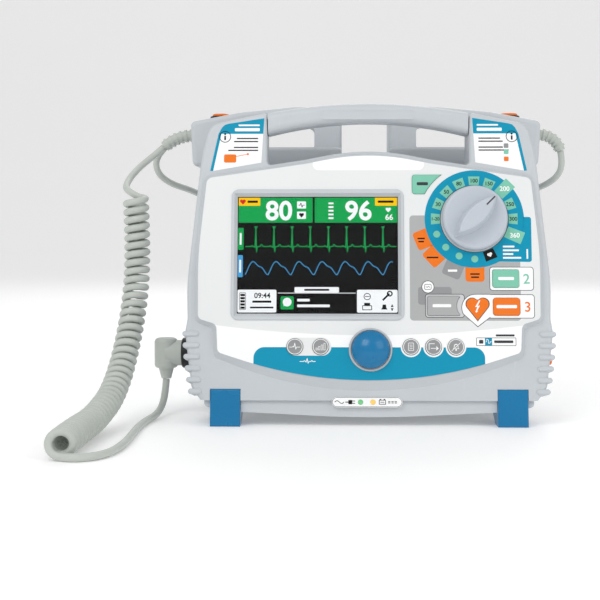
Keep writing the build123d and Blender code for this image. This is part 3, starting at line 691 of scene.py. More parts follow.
def spline_mesh(points, thick=0.0, smoothness=6):
    """A mesh along the smooth spline that has the points as its controls."""
    curve = bpy.data.curves.new("route", "CURVE")
    curve.dimensions = "3D"
    curve.resolution_u = smoothness
    curve.bevel_depth = thick / 2
    curve.bevel_resolution = 3
    curve.use_fill_caps = thick > 0
    spline = curve.splines.new("NURBS")
    spline.points.add(len(points) - 1)
    for control, point in zip(spline.points, points):
        control.co = (*point, 1.0)
    spline.order_u = 3
    spline.use_endpoint_u = True
    holder = bpy.data.objects.new("route", curve)
    mesh = bpy.data.meshes.new_from_object(holder)
    bpy.data.objects.remove(holder)
    bpy.data.curves.remove(curve)
    return mesh


def spline_line(points, smoothness=12):
    """Points along the smooth spline that has the points as its controls."""
    mesh = spline_mesh(points, 0.0, smoothness)
    line = [vertex.co.copy() for vertex in mesh.vertices]
    bpy.data.meshes.remove(mesh)
    return line


def helix(axis, radius, turns, start):
    """Turns round an axis line, as points; start is the side of the axis that they begin on."""
    lengths = [0.0]
    for before, after in zip(axis, axis[1:]):
        lengths.append(lengths[-1] + (after - before).length)
    side = Vector(start)
    points = []
    count = turns * COIL_STEPS
    at = 0
    for i in range(count + 1):
        reach = lengths[-1] * i / count
        while at < len(axis) - 2 and lengths[at + 1] < reach:
            at += 1
        share = (reach - lengths[at]) / (lengths[at + 1] - lengths[at])
        middle = axis[at].lerp(axis[at + 1], share)
        along = (axis[at + 1] - axis[at]).normalized()
        side = (side - along * side.dot(along)).normalized()
        angle = 2 * math.pi * i / COIL_STEPS
        points.append(middle + Matrix.Rotation(angle, 3, along) @ side * radius)
    return points


def cord_piece(name, controls, diameter, finish, nodes, exit_spot, **facts):
    """A tube along the controls' spline, which stands for CAD cords."""
    line = spline_line(controls, 4)
    data = spline_mesh(controls, diameter, 4)
    data.materials.clear()
    data.materials.append(finish)
    data.shade_smooth()
    piece = placed(name, data)
    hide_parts(*nodes)
    return piece


class DEFIB_OT_finishes(bpy.types.Operator):
    """Makes every finish that the other operators use"""

    bl_idname = "defib.finishes"
    bl_label = "Finishes"

    def execute(self, context):
        chosen = settings(context)
        housing, prints = chosen.housing, chosen.prints
        colours = {name: tuple(getattr(prints, name)) for name in PRINT_COLOURS}
        moulded("shell", tuple(housing.shell), housing.rough)
        moulded("knob", tuple(housing.knob), 0.36, 1800.0, 0.00002, 0.04)
        moulded("blue_plastic", tuple(housing.blue), 0.28, 1200.0, 0.00002, 0.08, 0.3)
        moulded("black_plastic", tuple(housing.black), 0.45, 1100.0, 0.00004, 0.15)
        moulded("orange_plastic", colours["orange"], 0.32, 1400.0, 0.00002, 0.05)
        moulded("grey_key", colours["dark_grey"], 0.4, 1600.0, 0.00002, 0.04)
        moulded("cancel_key", colours["panel_grey"], 0.4, 1600.0, 0.00002, 0.04)
        moulded("mint_key", colours["mint"], 0.38, 1600.0, 0.00002, 0.04)
        moulded("capacitor_sleeve", linear((40, 62, 92)), 0.35, 800.0, 0.00002, 0.1)
        rubber("cord", tuple(chosen.cords.colour), 0.48)
        rubber("black_rubber", linear((30, 30, 31)), 0.7)
        metal("steel", (0.62, 0.63, 0.65))
        metal("electrode", (0.70, 0.71, 0.72), 0.24, (30, 1, 1))
        metal("brass", (0.70, 0.55, 0.30), 0.3, (1, 30, 1))
        board_finish(linear((18, 92, 50)))
        rubber("paper", linear((240, 238, 228)), 0.7, 0.0)
        overlay_finish(colours)
        for name, colour in colours.items():
            film("ink_" + name, colour)
        picture("display_ground", linear((3, 3, 3)), 0.3)
        self.glass()
        self.lamps()
        return {"FINISHED"}

    def glass(self):
        finish = Finish("window")
        smear = finish.noise(30.0, 5.0, (1, 1, 3), 0.7)
        finish.set(Base_Color=(0.97, 0.98, 1.0), Transmission_Weight=1.0, IOR=1.2,
                   Roughness=((smear - 0.5) * 0.3).clear() * 0.2)

    def lamps(self):
        """The status lights: mains green on the left, battery amber on the right."""
        finish = Finish("status_light")
        across = finish.axes()[0]
        glow = finish.noise(500.0, 2.0)
        right = ((across + 1.6) * 4).clear()
        tone = finish.mix(right, linear((40, 178, 92)), linear((250, 190, 30)))
        tone = finish.mix(glow * 0.3, tone, (1.0, 1.0, 0.9))
        finish.set(Base_Color=tone, Emission_Color=tone, Emission_Strength=0.15, Roughness=0.2 + glow * 0.1)


class DEFIB_OT_main_cord(bpy.types.Operator):
    """Makes the coiled cord from the left paddle to its plug"""

    bl_idname = "defib.main_cord"
    bl_label = "Coiled paddle cord"

    def execute(self, context):
        sizes = settings(context).cords
        axis = spline_line(COIL_ROUTE, 40)
        turns = helix(axis, sizes.coil_radius, sizes.turns, (-0.35, 1.0, 0.0))
        turned = len(turns) - self.extra_steps(turns)
        controls = LEAD_ROUTE + turns[1:turned] + TAIL_ROUTE[::-1]
        piece = cord_piece(
            "paddle_cord", controls, sizes.diameter, material("cord"),
            ("main_cord_lead", "main_cord_coil", "main_cord_tail"), LEAD_ROUTE[0],
            far_end="connector", stiffness="medium", lay="hanging", with_pieces=["elbow_plug"],
        )
        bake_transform(piece)
        return {"FINISHED"}

    def extra_steps(self, turns):
        """Steps to leave out at the end, so that the last turn ends at its lowest point."""
        last = turns[-COIL_STEPS:]
        lowest = min(range(COIL_STEPS), key=lambda i: last[i].z)
        return COIL_STEPS - 1 - lowest


class DEFIB_OT_link_cord(bpy.types.Operator):
    """Makes the two halves of the cord that joins the paddles behind the body"""

    bl_idname = "defib.link_cord"
    bl_label = "Link cord"

    def execute(self, context):
        sizes = settings(context).cords
        for word, route in (("left", LEFT_LINK_ROUTE), ("right", RIGHT_LINK_ROUTE)):
            piece = cord_piece(
                f"link_cord_{word}_half", route, sizes.diameter, material("cord"),
                (f"link_cord_{word}",), route[0],
                far_end="object", stiffness="medium", lay="hanging",
            )
            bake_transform(piece)
        return {"FINISHED"}


# ---- Fittings' shapes ----------------------------------------------------------------------------
def lathe(mesh, place, profile, steps=32):
    """Revolves (radius, height) points round a place's own Z, closed at radius 0."""
    rings = []
    for radius, height in profile:
        if radius < 1e-6:
            rings.append([mesh.verts.new(place @ Vector((0, 0, height)))])
        else:
            rings.append([
                mesh.verts.new(place @ Vector((radius * math.cos(a), radius * math.sin(a), height)))
                for a in (2 * math.pi * i / steps for i in range(steps))
            ])
    for first, second in zip(rings, rings[1:]):
        for i in range(steps):
            corners = [first[i - 1], first[i]] if len(first) > 1 else [first[0]]
            corners += [second[i], second[i - 1]] if len(second) > 1 else [second[0]]
            mesh.faces.new(corners)


def screw_head(mesh, place, radius=2.6, steps=36):
    """A pan-head screw with a six-lobed drive, standing on a place's plane."""
    high = radius * 0.42
    floor = high * 0.3
    rim = disc((0, 0), radius, steps)
    lobes = [(x * lobe, y * lobe) for (x, y), lobe in
             ((point, 0.42 + 0.07 * math.cos(6 * 2 * math.pi * i / steps)) for i, point in enumerate(rim))]
    levels = [(rim, 0.0, 1.0), (rim, high * 0.6, 1.0), (rim, high, 0.86), (lobes, high, 1.0),
              (lobes, floor, 1.0)]
    rings = [[mesh.verts.new(place @ Vector((x * k, y * k, z))) for x, y in points]
             for points, z, k in levels]
    for first, second in zip(rings, rings[1:]):
        bridge(mesh, first, second)
    mesh.faces.new(rings[0][::-1])
    mesh.faces.new(rings[-1])


# ---- Finishes of the carried-over parts ----------------------------------------------------------
def both(part):
    """That part of each of the two paddles."""
    return [f"paddle_{side}_{part}" for side in ("left", "right")]


DRESSING = (
    ("shell", ["front_shell", "rear_shell", "bottom_tray", "carry_handle", "display_bezel",
               "recorder_door", "recorder_module", *both("body"), *both("adapter")]),
    ("knob", ["selector_knob"]),
    ("front_film", ["front_overlay"]),
    ("ink_white", ["led_plate"]),
    ("blue_plastic", ["encoder_knob", "front_foot_left", "front_foot_right"]),
    ("window", ["display_window"]),
    ("status_light", ["status_leds"]),
    ("grey_key", ["key_ecg_lead", "key_ecg_gain", "key_print", "key_marker", "key_alarm"]),
    ("cancel_key", ["key_cancel"]),
    ("mint_key", ["key_charge", "key_sync"]),
    ("orange_plastic", ["key_shock", "sensor_socket", *both("button")]),
    ("cord", ["elbow_plug", *both("relief")]),
    ("black_plastic", ["paddle_socket", "ecg_socket", "mains_inlet", "battery_pack", "speaker",
                       "encoder_switch", "selector_switch"]),
    ("display_ground", ["lcd_module"]),
    ("black_rubber", ["rear_feet"]),
    ("board", ["keypad_board", "main_board"]),
    ("steel", ["chassis_plate", "power_supply", "selector_shaft", "encoder_plunger"]),
    ("brass", ["paddle_contacts", "equipotential_stud"]),
    ("electrode", both("electrode")),
    ("capacitor_sleeve", ["hv_capacitor"]),
    ("paper", ["paper_roll"]),
)


class DEFIB_OT_dress(bpy.types.Operator):
    """Gives every carried-over part its finish"""

    bl_idname = "defib.dress"
    bl_label = "Carried-over parts"

    def execute(self, context):
        for finish, nodes in DRESSING:
            dress(nodes, material(finish))
        return {"FINISHED"}


# ---- Prints on the front -------------------------------------------------------------------------
LABEL_STEP = 22.5           # degrees between the dial's stops
DIAL_R = 40.6               # outer edge of the dial's teal ring
DIAL_FIELD_RIGHT = 133.0    # right edge of the teal field beside the dial
CHOSEN = ("200", "360")     # the dial's two larger labels
DIAL_NUMBERS = ("1-20", "30", "50", "80", "100", "150", "200", "250", "300", "360")
TAB_R = 44.5                # from the dial's middle to the middle of each tab
TAB_BAR_R, OFF_BAR_R = 47.0, 46.6
NUMBER_R, CHOSEN_NUMBER_R, DOT_R, HEART_R = 31.9, 35.6, 33.3, 32.2
DOT_ANGLES = (202.5, 225, 247.5, 270)
TAB_BARS = {202: (6.0, 4.6), 223: (9.5,), 270: (7.6, 6.4)}     # lengths of the bars, by angle
OFF_ANGLE = 247             # the grey tab
HEART_ANGLE = -67.5         # the black label


class DEFIB_OT_dial(bpy.types.Operator):
    """Prints the scale round the energy selector"""

    bl_idname = "defib.dial"
    bl_label = "Dial print"

    def execute(self, context):
        self.rim = face_span("selector_knob")[1].x - SELECTOR[0]
        self.ring_and_field()
        self.tabs()
        self.labels()
        return {"FINISHED"}

    def at(self, angle, radius):
        a = math.radians(angle)
        return (SELECTOR[0] + radius * math.cos(a), SELECTOR[1] + radius * math.sin(a))

    def ring_and_field(self):
        right, high, low = DIAL_FIELD_RIGHT - 2, SELECTOR[1] - 0.4, SELECTOR[1] - 33.7
        inner = arc(SELECTOR, DIAL_R - 0.4, 2.3, -61.3, 20)
        outer = arc((right, high), 2, 90, 0, 5) + arc((right, low), 2, 0, -90, 5)
        teal = Print(FACE, 1)
        teal.ring(disc(SELECTOR, DIAL_R, 96), disc(SELECTOR, self.rim - 4, 96))
        teal.fill(inner[::-1] + outer).ink("dial_field", "teal")
        for name, ink, outside, inside in (("dial_rim_line", "line", 1.5, 1.0),
                                           ("dial_rim_field", "pale_grey", 1.0, -2)):
            band = [disc(SELECTOR, self.rim + reach, 96) for reach in (outside, inside)]
            Print(FACE, 2).ring(*band).ink(name, ink)

    def tabs(self):
        tab = box(-7.75, 7.75, -7.5, 7.5, 2.5)
        for name, ink, angles in (("dial_tabs", "orange", TAB_BARS),
                                  ("dial_off_tab", "dark_grey", [OFF_ANGLE])):
            outlines = [moved(tab, self.at(angle, TAB_R), angle + 90) for angle in angles]
            Print(FACE, 0).fill(*outlines).ink(name, ink)
        bars = Print(FACE, 1)
        for angle, lengths in TAB_BARS.items():
            x, y = self.at(angle, TAB_BAR_R)
            for row, length in enumerate(lengths):
                y_row = y + 1.3 * (len(lengths) - 1) - 2.6 * row
                bars.fill(box(x - length / 2, x + length / 2, y_row - 0.6, y_row + 0.6, 0.3))
        bars.ink("dial_tab_bars", "black")
        x, y = self.at(OFF_ANGLE, OFF_BAR_R)
        Print(FACE, 1).fill(box(x - 3.8, x + 3.8, y - 0.9, y + 0.9, 0.4)).ink("dial_off_bar", "white")

    def label(self, angle, low_half, high_half, high):
        """A label that widens from the dial's inner edge outwards."""
        inner = self.rim + 1.6
        outline = [(inner, low_half), (inner, -low_half), (high, -high_half), (high, high_half)]
        return moved(outline, SELECTOR, angle)

    def labels(self):
        ground, numbers, bold = Print(FACE, 2), Print(FACE, 3), Print(FACE, 3)
        for step, number in enumerate(DIAL_NUMBERS):
            angle = 180 - LABEL_STEP * step
            if number in CHOSEN:
                ground.fill(self.label(angle, 4.7, 5.2, 42.6))
                bold.words(number, self.at(angle, CHOSEN_NUMBER_R), 3.8, 0.03)
            else:
                ground.fill(self.label(angle, 3.9, 4.65, 35.4))
                numbers.words(number, self.at(angle, NUMBER_R), 3.1 if len(number) < 4 else 2.7, 0.03)
        ground.fill(*(disc(self.at(angle, DOT_R), 2.85, 24) for angle in DOT_ANGLES))
        ground.ink("dial_labels", "mint")
        numbers.ink("dial_numbers", "black")
        bold.ink("dial_large_numbers", "white")
        Print(FACE, 2).fill(self.label(HEART_ANGLE, 4.4, 5.1, 36.4)).ink("dial_black_label", "black")
        mark = moved(heart((0, 0), 4.2, 1.9), self.at(HEART_ANGLE, HEART_R), 22)
        Print(FACE, 3).fill(mark).ink("dial_black_label_mark", "white")


class DEFIB_OT_panel_print(bpy.types.Operator):
    """Prints the numbered steps, the heart, the boxes and the small marks on the front film"""

    bl_idname = "defib.panel_print"
    bl_label = "Panel print"

    def execute(self, context):
        self.steps()
        self.heart_end()
        self.selector_note()
        self.waveform_box()
        self.small_marks()
        return {"FINISHED"}

    def steps(self):
        for name, text, spot, ink in (("step_one", "1", (129.4, 141.9), "white"),
                                      ("step_two", "2", (128.4, 121.4), "mint"),
                                      ("step_three", "3", (129.0, 98.4), "orange")):
            Print(FACE, 3).words(text, spot, 8.0, 0.012).ink(name, ink)

    def heart_end(self):
        """The shock key's white field ends in a heart that holds an orange one."""
        x, y = 88.4, 98.3
        tip = y - 16.6
        middle = (x - 1.8, y - 0.7)
        outer = [(98.6, 108.9)] + arc(middle, 11.3, 90, 208, 20) + [(x, tip), (98.6, 89.6)]
        inner = [(98.8, 108.4)] + arc(middle, 10.8, 90, 208, 20) + [(x, tip + 0.75), (98.8, 90.4)]
        shapes = (("heart_field_line", "line", outer), ("heart_field", "white", inner),
                  ("heart_line", "line", heart((x, y), 19.6, 11.8)),
                  ("heart", "orange", heart((x, y + 0.05), 18.2, 10.9)),
                  ("heart_flash", "white", bolt((x, y + 0.6), 9.6)))
        for layer, (name, ink, outline) in enumerate(shapes, 1):
            Print(FACE, layer).fill(outline).ink(name, ink)

    def selector_note(self):
        note = Print(FACE, 3)
        for up, right in ((148.0, 119.0), (144.9, 122.6), (141.8, 118.0), (138.7, 124.4)):
            note.fill(box(109.6, right, up - 0.75, up + 0.75, 0.4))
        note.ink("selector_note", "white")

    def waveform_box(self):
        """A framed mark of a two-way pulse, with plain bars for its words."""
        outline = Print(FACE, 1)
        outline.ring(box(86.9, 119.2, 66.6, 73.3, 0.8), box(87.3, 118.8, 67.0, 72.9, 0.5))
        outline.fill(box(89.2, 92.6, 68.4, 71.4, 0.6), box(101.4, 116.8, 68.9, 71.0, 0.6),
                     box(102.8, 117.9, 74.3, 75.9, 0.5))
        outline.ink("waveform_frame", "line")
        Print(FACE, 1).fill(box(94.0, 99.7, 66.9, 73.0)).ink("waveform_field", "teal")
        pulse = [(94.5, 69.9), (95.3, 69.9), (95.5, 72.2), (96.7, 71.4), (96.9, 68.4), (98.0, 68.8),
                 (98.2, 69.9), (99.3, 69.9)]
        Print(FACE, 2).line(pulse, 0.45).ink("waveform_pulse", "white")

    def small_marks(self):
        spot = (48.2, 114.7)
        Print(FACE, 1).fill(disc(spot, 5.2)).ink("tape_mark_line", "line")
        Print(FACE, 2).fill(disc(spot, 4.7)).ink("tape_mark_ground", "white")
        tape = Print(FACE, 3)
        tape.ring(moved(box(-2.9, 2.9, -2.3, 2.3, 1.1), spot), moved(box(-2.5, 2.5, -1.9, 1.9, 0.8), spot))
        tape.line(moved([(-1.6, 0.4), (-0.6, -0.5), (0.5, 0.5), (1.6, -0.4)], spot), 0.4)
        tape.ink("tape_mark", "line")
        spot = ((face_middle("key_ecg_lead")[0] + face_middle("key_ecg_gain")[0]) / 2, 53.6)
        trace = [(-6.5, 0), (-3.2, 0), (-2.6, 0.9), (-1.8, 0), (-1.2, -0.6), (-0.4, 2.6), (0.4, -1.6),
                 (1.1, 0), (2.6, 0), (3.4, 0.8), (4.2, 0), (6.5, 0)]
        Print(FACE, 1).line(moved(trace, spot), 0.55).ink("key_pair_mark", "white")


# ---- Prints on the keys --------------------------------------------------------------------------
KEY_HIGH = face_span("key_print")[1].z


class DEFIB_OT_key_print(bpy.types.Operator):
    """Prints a symbol or a plain bar on each key"""

    bl_idname = "defib.key_print"
    bl_label = "Key print"

    def execute(self, context):
        for name, draw in (("key_ecg_lead", self.trace), ("key_ecg_gain", self.bars),
                           ("key_print", self.strip), ("key_marker", self.marker),
                           ("key_alarm", self.alarm)):
            mark = Print(FACE, 0, KEY_HIGH)
            spot = face_middle(name)
            low, high = face_span(name)
            rim = (high.x - low.x) / 2 - 0.4
            mark.ring(disc(spot, rim, 48), disc(spot, rim - 0.5, 48))
            draw(mark, spot)
            mark.piece(name + "_mark", material("ink_white"), name, "grey_key")
        for name, left, right, up, slot in (
            ("key_charge", 105.3, 118.2, 121.5, "mint_key"),
            ("key_shock", 103.6, 120.2, 98.5, "orange_key"),
            ("key_cancel", 51.8, 66.9, 99.2, "grey_key"),
            ("key_sync", 39.7, 48.9, 200.2, "mint_key"),
        ):
            mark = Print(FACE, 0, KEY_HIGH)
            mark.fill(box(left, right, up - 1.3, up + 1.3, 0.8))
            ink = "ink_line" if name == "key_sync" else "ink_white"
            mark.piece(name + "_bar", material(ink), name, slot)
        return {"FINISHED"}

    def trace(self, mark, spot):
        points = [(-4.4, -0.4), (-1.9, -0.4), (-1.3, 0.4), (-0.7, -0.4), (0.0, 3.1), (0.8, -2.3),
                  (1.4, -0.4), (4.4, -0.4)]
        mark.line(moved(points, spot), 0.5)

    def bars(self, mark, spot):
        for i in range(4):
            x = -3.2 + 2.1 * i
            top = -0.9 + 1.25 * i
            mark.ring(moved(box(x - 0.75, x + 0.75, -2.9, top), spot),
                      moved(box(x - 0.4, x + 0.4, -2.55, top - 0.35), spot))

    def strip(self, mark, spot):
        mark.ring(moved(box(-2.3, 2.3, -3.1, 3.3, 0.6), spot), moved(box(-1.9, 1.9, -2.7, 2.9, 0.3), spot))
        for y in (-1.4, 0.0, 1.4):
            mark.line(moved([(-1.2, y), (1.2, y)], spot), 0.4)

    def marker(self, mark, spot):
        mark.line(moved([(-3.6, -2.4), (-3.6, 2.6), (0.9, 2.6)], spot), 0.5)
        mark.line(moved([(-2.2, -1.2), (2.8, -1.2)], spot), 0.5)
        mark.fill(moved([(2.2, 0.6), (4.2, -1.2), (2.2, -3.0)], spot))

    def alarm(self, mark, spot):
        bell = [(-2.6, -1.6), (-1.9, -0.7), (-1.7, 1.0), (-0.9, 2.4), (0.9, 2.4), (1.7, 1.0), (1.9, -0.7),
                (2.6, -1.6)]
        inner = [(x * 0.72, y * 0.74 - 0.05) for x, y in bell]
        mark.ring(moved(bell, spot), moved(inner, spot))
        mark.fill(moved(disc((0, -2.5), 0.7, 16), spot))
        mark.line(moved([(-3.7, -3.4), (3.7, 3.5)], spot), 0.45)


# ---- Display picture -----------------------------------------------------------------------------
class DEFIB_OT_display(bpy.types.Operator):
    """Draws the picture behind the display's window"""

    bl_idname = "defib.display"
    bl_label = "Display picture"

    def execute(self, context):
        chosen = settings(context).screen
        tones = {"green": tuple(chosen.green), "blue": tuple(chosen.blue), "yellow": tuple(chosen.yellow),
                 "white": linear((246, 248, 248)), "dark": linear((10, 11, 12)),
                 "red": linear((214, 30, 36))}
        for name, tone in tones.items():
            picture("picture_" + name, tone, chosen.glow)
        low, high = face_span("display_window")
        lcd_high = face_span("lcd_module")[1].z
        self.wide, self.tall = high.x - low.x, high.y - low.y
        self.place = FACE @ Matrix.Translation((low.x, low.y, lcd_high))
        self.tiles()
        self.traces()
        self.foot()
        return {"FINISHED"}

    def sheet(self, layer):
        return Print(self.place, layer * 0.9, 0.0, 0.012)

    def done(self, sheet, name, tone):
        sheet.piece("picture_" + name, material("picture_" + tone), slot="display_glass")

    def tiles(self):
        top = self.tall - 0.4
        foot, tab_foot = top - 21.0, top - 6.8
        ground = self.sheet(0)
        ground.fill(box(0.6, 61.7, foot, top, 0.8), box(63.4, self.wide - 0.4, foot, top, 0.8))
        self.done(ground, "number_tiles", "green")
        tabs = self.sheet(1)
        tabs.fill(box(0.6, 18.4, tab_foot, top, 0.6), box(113.1, self.wide - 0.4, tab_foot, top, 0.6))
        self.done(tabs, "tile_tabs", "yellow")
        self.done(self.sheet(2).fill(heart((4.0, top - 3.4), 4.8, 2.4)), "tab_heart", "red")
        dark = self.sheet(2)
        dark.fill(box(7.8, 16.4, top - 4.3, top - 2.4, 0.5), box(115.4, 128.4, top - 4.3, top - 2.4, 0.5))
        self.done(dark, "tab_bars", "dark")
        white = self.sheet(1)
        white.words("80", (33.8, top - 10.8), 15.6, 0.035)
        white.words("96", (99.4, top - 10.8), 15.6, 0.035)
        white.words("66", (124.7, 80.2), 4.6, 0.03)
        white.fill(heart((124.0, 86.4), 4.4, 2.2), box(48.8, 56.2, 87.4, 93.4, 0.6),
                   box(48.8, 56.2, 78.7, 84.9, 0.6))
        white.fill(*(box(74.7, 78.9, y, y + 1.5, 0.3) for y in (78.6 + 3.1 * i for i in range(5))))
        self.done(white, "numbers", "white")
        marks = self.sheet(2)
        beat = [(50.0, 90.2), (51.4, 90.2), (52.0, 92.2), (52.9, 88.4), (53.5, 90.2), (55.0, 90.2)]
        marks.line(beat, 0.5)
        marks.fill(heart((52.5, 82.0), 4.0, 2.2))
        self.done(marks, "square_marks", "dark")

    def beat(self, left, base):
        """One beat of the upper trace."""
        shape = ((0, 0), (1.6, 0), (2.4, 1.0), (3.2, 0), (4.4, 0), (4.8, -1.2), (5.4, 14.4), (6.1, -4.6),
                 (6.6, 0), (8.8, 0), (10.2, 2.0), (11.6, 0))
        return [(left + x, base + y) for x, y in shape]

    def traces(self):
        upper = self.sheet(0)
        spacing, base = 14.95, 55.6
        points = [(6.4, base)]
        for i in range(8):
            points += self.beat(9.5 + spacing * i, base)
            peak = 14.9 + spacing * i
            upper.fill([(peak - 1.5, 72.4), (peak, 69.6), (peak + 1.5, 72.4)])
        points.append((self.wide - 1.2, base))
        upper.line(points, 0.75)
        upper.fill(box(0.2, 4.9, 52.8, 71.2, 0.8))
        self.done(upper, "upper_trace", "green")
        lower = self.sheet(0)
        span, heights = 18.9, (0.0, 0.3, 0.66, 0.9, 1.0, 0.94, 0.76, 0.62, 0.6, 0.52, 0.28, 0.06)
        count = len(heights)
        points = [(6.4 + span * i / count, 32.2 + 11.0 * heights[i % count])
                  for i in range(int(count * 6.55))]
        lower.line(points, 0.6)
        lower.fill(box(0.2, 4.4, 30.2, 48.5, 0.8))
        self.done(lower, "lower_trace", "blue")
        tabs = self.sheet(1)
        tabs.fill(box(1.6, 3.2, 57.0, 67.0, 0.5), box(1.4, 3.0, 34.0, 44.6, 0.5))
        self.done(tabs, "trace_tab_bars", "white")

    def foot(self):
        white = self.sheet(0)
        white.fill(box(0.3, 32.2, 1.0, 19.8, 1.2), box(98.1, self.wide - 0.4, 1.0, 19.8, 1.2),
                   box(47.0, 83.4, 17.4, 22.0, 0.8), box(33.4, 97.0, 16.8, 17.3),
                   box(49.2, 59.5, 10.1, 12.3, 0.6), box(49.2, 75.9, 5.4, 7.6, 0.6))
        self.done(white, "foot_fields", "white")
        dark = self.sheet(1)
        dark.fill(*(box(2.6, 6.4, 4.0 + 2.6 * i, 5.9 + 2.6 * i, 0.3) for i in range(5)))
        dark.ring(box(1.8, 7.2, 3.2, 17.4, 0.8), box(2.2, 6.8, 3.6, 17.0, 0.5))
        dark.words("09:44", (20.6, 15.0), 4.2, 0.03)
        dark.fill(box(12.4, 28.0, 9.0, 10.8, 0.5), box(10.6, 29.8, 4.4, 5.8, 0.4),
                  box(55.0, 75.4, 18.9, 20.5, 0.5))
        dark.ring(disc((106.5, 14.2), 2.9, 32), disc((106.5, 14.2), 2.3, 32))
        dark.line([(104.6, 14.2), (108.4, 14.2)], 0.6)
        dark.line(moved([(-3.4, -3.0), (2.0, 2.4)], (122.6, 14.2)), 1.5)
        dark.ring(disc((124.9, 16.6), 2.4, 24), disc((124.9, 16.6), 1.3, 24))
        dark.ring(box(102.4, 110.4, 3.0, 7.0, 0.6), box(103.0, 109.8, 3.6, 6.4, 0.3))
        dark.fill(box(104.0, 108.8, 7.0, 9.0, 0.3))
        bell = [(-2.6, -1.8), (2.6, -1.8), (1.7, -0.4), (1.3, 2.2), (-1.3, 2.2), (-1.7, -0.4)]
        dark.fill(moved(bell, (120.4, 5.4)), [(125.6, 5.6), (128.0, 5.6), (126.8, 8.0)],
                  [(125.6, 4.6), (128.0, 4.6), (126.8, 2.2)])
        self.done(dark, "foot_marks", "dark")
        self.done(self.sheet(0).fill(box(35.6, 46.4, 3.5, 14.3, 1.2)), "message_field", "green")
        bubble = [(38.2, 6.0)] + arc((41.0, 9.6), 3.6, -125, 215, 28)
        self.done(self.sheet(1).fill(bubble), "message_mark", "white")


# ---- Labels on the ears and the status plate -----------------------------------------------------
EAR_BASE = -5.0             # the ears lie this far behind the front film


class DEFIB_OT_ear_labels(bpy.types.Operator):
    """Prints the two help labels on the ears, without words"""

    bl_idname = "defib.ear_labels"
    bl_label = "Ear labels"

    def execute(self, context):
        for side, word in ((-1, "left"), (1, "right")):
            self.label(side, word)
        return {"FINISHED"}

    def sheet(self, layer):
        return Print(FACE, layer, EAR_BASE)

    def mirror(self, points, side):
        return [(x * -side, y) for x, y in points]

    def label(self, side, word):
        top = [(-86.5, 257.3), (-87.3, 244.0), (-124.6, 244.0), (-121.9, 249.2), (-119.6, 251.6),
               (-116.0, 252.7)]
        stripe = [(-122.2, 244.1), (-124.6, 244.1), (-131.2, 212.6), (-128.8, 212.3)]
        header = self.sheet(1).fill(self.mirror(top, side), self.mirror(stripe, side))
        header.ink(f"ear_{word}_header", "teal")
        white = [(-87.3, 244.4), (-88.7, 219.5), (-129.4, 212.4), (-123.0, 244.4)]
        self.sheet(0).fill(self.mirror(white, side)).ink(f"ear_{word}_field", "white")
        marks = self.sheet(2)
        spot = self.mirror([(-119.1, 241.5)], side)[0]
        marks.ring(disc(spot, 4.9, 40), disc(spot, 4.3, 40))
        marks.fill(moved(box(-0.7, 0.7, -2.8, 0.8), spot), moved(disc((0, 2.3), 0.85, 16), spot))
        for up, left in ((240.0, -109.4), (237.4, -111.6), (232.4, -111.7), (229.9, -116.4)):
            marks.fill(self.mirror(box(left, -91.5, up - 0.5, up + 0.5, 0.3), side))
        marks.ink(f"ear_{word}_marks", "black")
        bars = (box(-111.0, -90.2, 246.2, 248.9, 0.8), box(-108.0, -90.2, 250.6, 252.0, 0.6))
        header_bars = self.sheet(2).fill(*(self.mirror(points, side) for points in bars))
        header_bars.ink(f"ear_{word}_header_bars", "white")
        if side < 0:
            tag = self.sheet(2)
            tag.fill(box(-119.8, -109.7, 219.5, 226.5, 1.2))
            tag.line([(-109.7, 224.8), (-100.5, 226.6)], 0.5)
            tag.fill(disc((-100.0, 226.7), 0.9, 16))
            tag.ink("ear_left_tag", "orange")
            return
        for up, ink in ((233.6, "dark_grey"), (228.4, "mint"), (222.4, "orange")):
            square = box(112.4, 116.2, up - 1.9, up + 1.9, 0.6)
            self.sheet(3).fill(square).ink(f"ear_right_step_{ink}", ink)


class DEFIB_OT_status_print(bpy.types.Operator):
    """Prints the wave, plug and battery symbols beside the status lights"""

    bl_idname = "defib.status_print"
    bl_label = "Status symbols"

    def execute(self, context):
        low, high = face_span("led_plate")
        up = (low.y + high.y) / 2
        marks = Print(FACE, 0, high.z)
        wave = [(-27.6 + 0.5 * i, up + 1.1 * math.sin(i * 0.42)) for i in range(16)]
        marks.line(wave, 0.55)
        plug, cell = (-15.0, up), (11.0, up)
        marks.fill(moved(box(-1.6, 1.6, -1.7, 1.7, 0.5), plug))
        marks.fill(*(moved(box(1.6, 3.9, y - 0.3, y + 0.3), plug) for y in (-0.9, 0.9)))
        marks.line([(-19.0, up), (-16.6, up)], 0.7)
        marks.ring(moved(box(-2.8, 2.8, -1.9, 1.9, 0.3), cell), moved(box(-2.3, 2.3, -1.4, 1.4, 0.2), cell))
        marks.fill(*(moved(box(x - 0.6, x + 0.6, 1.9, 2.6), cell) for x in (-1.6, 1.6)))
        marks.line([(9.4, up), (12.6, up)], 0.5)
        for x in (15.6, 18.2, 20.8):
            marks.fill(box(x, x + 1.9, up + 0.2, up + 0.8), box(x, x + 1.9, up - 0.9, up - 0.3))
        marks.ink("status_marks", "black")
        outer, inner = (arc((high.x - 4.3, up), radius, -90, 90, 16) +
                        arc((low.x + 4.3, up), radius, 90, 270, 16) for radius in (3.9, 3.55))
        Print(FACE, 0, high.z).ring(outer, inner).ink("status_rim", "line")
        return {"FINISHED"}


